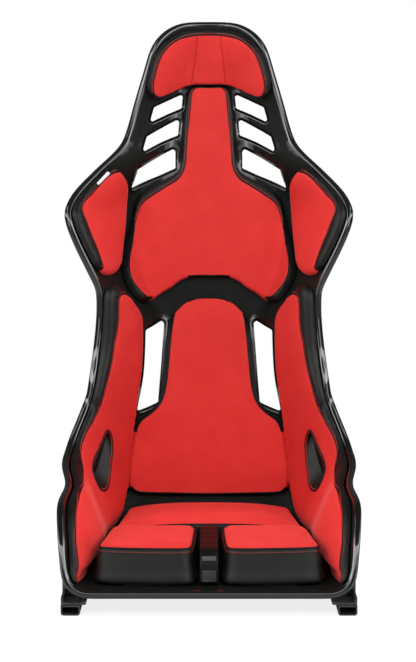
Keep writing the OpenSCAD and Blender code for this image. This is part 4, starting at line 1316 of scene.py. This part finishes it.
def make_tape(name, rows):
    """All strips of one group, as one piece."""
    parts = []
    for row in rows:
        flat = Pad(strip(*row), level(1.7), base=0.15, drop=0.0, reach=1.2, gap=9.0, hem=1.0)
        parts.append(flat.make(name, HOOK_TAPE, HOOK_TAPE))
    whole = joined(parts)
    whole.name = name
    return whole


finished(make_tape("hook_tape_back", TAPE_BACK), "tape", "hook_patches_back")
both_sides = TAPE_SIDES + [[-l, s, w, h] for l, s, w, h in TAPE_SIDES]
finished(make_tape("hook_tape_sides", both_sides), "tape", "hook_patches_sides")
finished(make_tape("hook_tape_seat", TAPE_SEAT), "tape", "hook_patches_seat")

# %% Tag
shoulder = PADS["shoulder_pad_left"]
tag_loop = np.vstack([np.linspace(a, b, 12, endpoint=False)
                      for a, b in zip(TAG, np.roll(TAG, -1, 0))])
tag = Pad(even(tag_loop, 1.2), level(0.8), base=lambda p: shoulder.height(p) + 0.25, drop=0.0,
          reach=0.5, gap=2.5, hem=0.4)
finished(tag.make("woven_tag", WHITE_WEAVE, WHITE_WEAVE), "white_fabric", "shoulder_tag")

# %% [markdown]
# ## Centre bridge
# A leather strap bridges the channel between the thigh cushions. It is a bent plate with a
# soft crown, so its side view is swept across its width. The keeper bar and the ribbed catch
# on its front are boxes with bevelled edges.

# %% Bridge
BRIDGE_BEND, BRIDGE_T, BRIDGE_GAP = 0.026, 0.004, 0.0032
KEEPER_UP = (0, 0, 0.004)
RIBS, RIB_START, RIB_STEP, RIB_T, RIB_DEEP, PLATE_BACK = 4, 0.002, 0.0045, 0.002, 0.0026, 0.0016


def rounded_box(name, low, high, bevel, material):
    """A box between two corners in metres, with bevelled edges."""
    bpy.ops.object.select_all(action="DESELECT")
    bpy.ops.mesh.primitive_cube_add(size=1)
    piece = bpy.context.object
    piece.name = piece.data.name = name
    low, high = np.array(low), np.array(high)
    for v in piece.data.vertices:
        v.co = Vector(low + (np.array(v.co) + 0.5) * (high - low))
    bpy.ops.object.mode_set(mode="EDIT")
    bpy.ops.mesh.select_all(action="SELECT")
    bpy.ops.mesh.bevel(offset=bevel, segments=3, affect="EDGES")
    bpy.ops.object.mode_set(mode="OBJECT")
    bpy.ops.object.shade_smooth_by_angle(angle=math.radians(40))
    piece.data.materials.append(material)
    return piece


def make_bridge():
    """Side view of the strap swept across its width, with a soft crown."""
    low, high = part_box("centre_bridge")
    x1 = (high[0] - low[0]) / 2 - BRIDGE_GAP
    r, t = BRIDGE_BEND, BRIDGE_T
    front, rear, top, foot = low[1], high[1], high[2], low[2]
    path = [(rear - 0.0008, top - 0.017), (rear - 0.0008, top - 0.004)]
    path += [(rear - 0.004, top - 0.0004)]
    path += [(y, top - 0.0003 * math.sin(y * 160)) for y in np.linspace(rear - 0.02, front + r, 22)]
    path += [(front + r - r * math.sin(a), top - r + r * math.cos(a))
             for a in np.radians(np.arange(9, 91, 9))]
    path += [(front + 0.0002, z) for z in np.linspace(top - r - 0.008, foot + 0.006, 8)]
    path += [(front + 0.001, foot + 0.0012), (front + 0.004, foot + 0.0002),
             (front + 0.04, foot + 0.0002)]
    path = np.array(path)
    ahead = unit(np.gradient(path, axis=0))
    inner = np.column_stack([ahead[:, 1], -ahead[:, 0]])
    if (inner[25] @ (np.array([path[:, 0].mean(), path[:, 1].mean()]) - path[25])) < 0:
        inner = -inner
    across = [(-1, 0.5), (-1, 0.16), (-0.985, 0.02), (-0.95, -0.03), (-0.6, -0.09), (0, -0.12),
              (0.6, -0.09), (0.95, -0.03), (0.985, 0.02), (1, 0.16), (1, 0.5),
              (0.99, 0.9), (0.9, 1), (0, 1), (-0.9, 1), (-0.99, 0.9)]
    points = [[(u * x1, *(p + n * t * v)) for u, v in across] for p, n in zip(path, inner)]
    rings = np.arange(len(path) * len(across)).reshape(-1, len(across)).tolist()
    faces = ring_faces(rings) + [tuple(rings[0][::-1]), tuple(rings[-1])]
    # The strap's leather is painted darker, as shade in the channel.
    return closed_piece("bridge_strap", np.vstack(points), faces, [PAINTED_SHADE_LEATHER])


finished(make_bridge(), "leather", "centre_bridge")
low, high = (np.add(corner, KEEPER_UP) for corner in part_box("bridge_keeper_bar"))
keeper = rounded_box("bridge_keeper", low, high, 0.0009, DARK_BAR)
finished(keeper, "zinc_steel", "bridge_keeper_bar")
low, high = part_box("bridge_ribbed_catch")
plate = rounded_box("bridge_catch", (low[0], low[1] + PLATE_BACK, low[2]), high, 0.0007, TRIM)
for i in range(RIBS):
    z = low[2] + RIB_START + i * RIB_STEP
    rib = rounded_box("rib", (low[0] + 0.001, low[1], z),
                      (high[0] - 0.001, low[1] + RIB_DEEP, z + RIB_T), 0.0006, TRIM)
    joined([plate, rib])
finished(plate, "trim", "bridge_ribbed_catch")

# %% [markdown]
# ## Steel and hardware
# The bent adapters, the rails, the bolts, the inserts and the bezel of the crotch belt slot
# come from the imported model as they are. They only get their finishes.

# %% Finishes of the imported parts
STEEL_PARTS = ["side_adapter_left", "side_adapter_right", "base_rail_left", "base_rail_right"]
ZINC_PARTS = ["shell_bolts", "shell_washers", "rail_bolts", "rail_washers", "rail_nuts"]
for material, names in ((STEEL, STEEL_PARTS), (ZINC, ZINC_PARTS), (BRASS, ["mount_inserts"]),
                        (TRIM, ["crotch_belt_bezel"])):
    for name in names:
        packed = bpy.data.objects[name]
        packed.data.materials.clear()
        packed.data.materials.append(material)

# %% [markdown]
# ## Floor and light
# A plain pale floor, and soft light from the front, from both sides and from above.

# %% Floor
bpy.ops.object.select_all(action="DESELECT")
bpy.ops.mesh.primitive_plane_add(size=30, location=(0, 0, 0))
floor = bpy.context.object
floor.name = "floor"


def seen_directly(wire):
    """1 for rays from the camera, and for what gloss and glass show."""
    ray = [wire.node("ShaderNodeLightPath", out=i) for i in (0, 3, 6)]
    return (ray[0] + ray[1] + ray[2]).clamp()


def make_floor_material():
    """Pale and glowing for the camera, white far off, and a plain pale floor for the light."""
    material = bpy.data.materials.new("pale_floor")
    material.use_nodes = True
    tree = material.node_tree
    tree.nodes.clear()
    wire = Wire(tree)
    place = wire.node("ShaderNodeTexCoord", out=3)
    far = wire.node("ShaderNodeVectorMath", {"operation": "LENGTH"}, {0: place}, out=1)
    fine = wire.noise(place, 0.4)
    tint = fine.blend((0.29, 0.29, 0.29), (0.31, 0.31, 0.31))
    pale = wire.node("ShaderNodeBsdfDiffuse", {}, {"Color": (0.75, 0.75, 0.75, 1)})
    half = wire.node("ShaderNodeBsdfDiffuse", {}, {"Color": tint})
    glow = wire.node("ShaderNodeEmission", {}, {"Color": (1, 1, 1, 1), "Strength": 0.82})
    white = wire.node("ShaderNodeEmission", {}, {"Color": (1, 1, 1, 1), "Strength": 1.0})
    both = wire.node("ShaderNodeAddShader", {}, {0: half, 1: glow})
    both = wire.node("ShaderNodeMixShader", {}, {0: far.clamp(0.35, 0.9), 1: both, 2: white})
    camera_ray = wire.node("ShaderNodeLightPath", out=0)
    mix = wire.node("ShaderNodeMixShader", {}, {0: camera_ray, 1: pale, 2: both})
    wire.node("ShaderNodeOutputMaterial", {}, {"Surface": mix})
    return material


floor.data.materials.append(make_floor_material())

# %% World and lamps
FILL_LIGHT = 0.42
world = bpy.data.worlds.new("studio")
bpy.context.scene.world = world
world.use_nodes = True
world.node_tree.nodes.clear()
air = Wire(world.node_tree)
ahead = air.node("ShaderNodeTexCoord", out=0)
side, heading, rise = (air.node("ShaderNodeSeparateXYZ", {}, {0: ahead}, out=i) for i in range(3))
side = side.maths("ABSOLUTE", side)


def stripe(value, low, high):
    """1 between low and high, with soft edges."""
    return value.clamp(low - 0.04, low) * (1 - value.clamp(high, high + 0.04))


camera_ray = air.node("ShaderNodeLightPath", out=0)
boxes = stripe(side, 0.36, 0.85) * stripe(heading, -0.95, -0.3) * stripe(rise, -0.2, 0.6)
front = 1 - heading.clamp(-0.1, 0.2)
lamps = (stripe(side, 0.66, 0.73) * 4.0 + stripe(rise, 0.32, 0.44) * 6.0) * front + boxes * 2.0
shown = camera_ray * 0.93 + (1 - camera_ray) * lamps + 0.07
strength = seen_directly(air) * (shown - FILL_LIGHT) + FILL_LIGHT
air.node("ShaderNodeOutputWorld", {}, {"Surface": air.node(
    "ShaderNodeBackground", {}, {"Color": (1, 1, 1, 1), "Strength": strength})})


def softbox(name, place, target, width, height, power):
    """A soft lamp that shines at its target and doesn't show in gloss."""
    bpy.ops.object.light_add(type="AREA", location=place)
    lamp = bpy.context.object
    lamp.name = name
    lamp.data.shape = "RECTANGLE"
    lamp.data.size, lamp.data.size_y = width, height
    lamp.data.energy = power
    lamp.visible_glossy = False
    lamp.rotation_euler = (Vector(target) - Vector(place)).to_track_quat("-Z", "Y").to_euler()


# Name, place, target, width, height and power of each
LAMPS = [("key_front", (0.0, -3.4, 2.9), (0, 0, 0.5), 2.6, 1.2, 83),
         ("strip_left", (-2.2, 0.3, 1.1), (0, 0, 0.6), 0.5, 2.2, 32),
         ("strip_right", (2.2, 0.3, 1.1), (0, 0, 0.6), 0.5, 2.2, 32),
         ("top", (0, 0.2, 3.2), (0, 0, 0), 2.0, 2.0, 24)]
for lamp in LAMPS:
    softbox(*lamp)
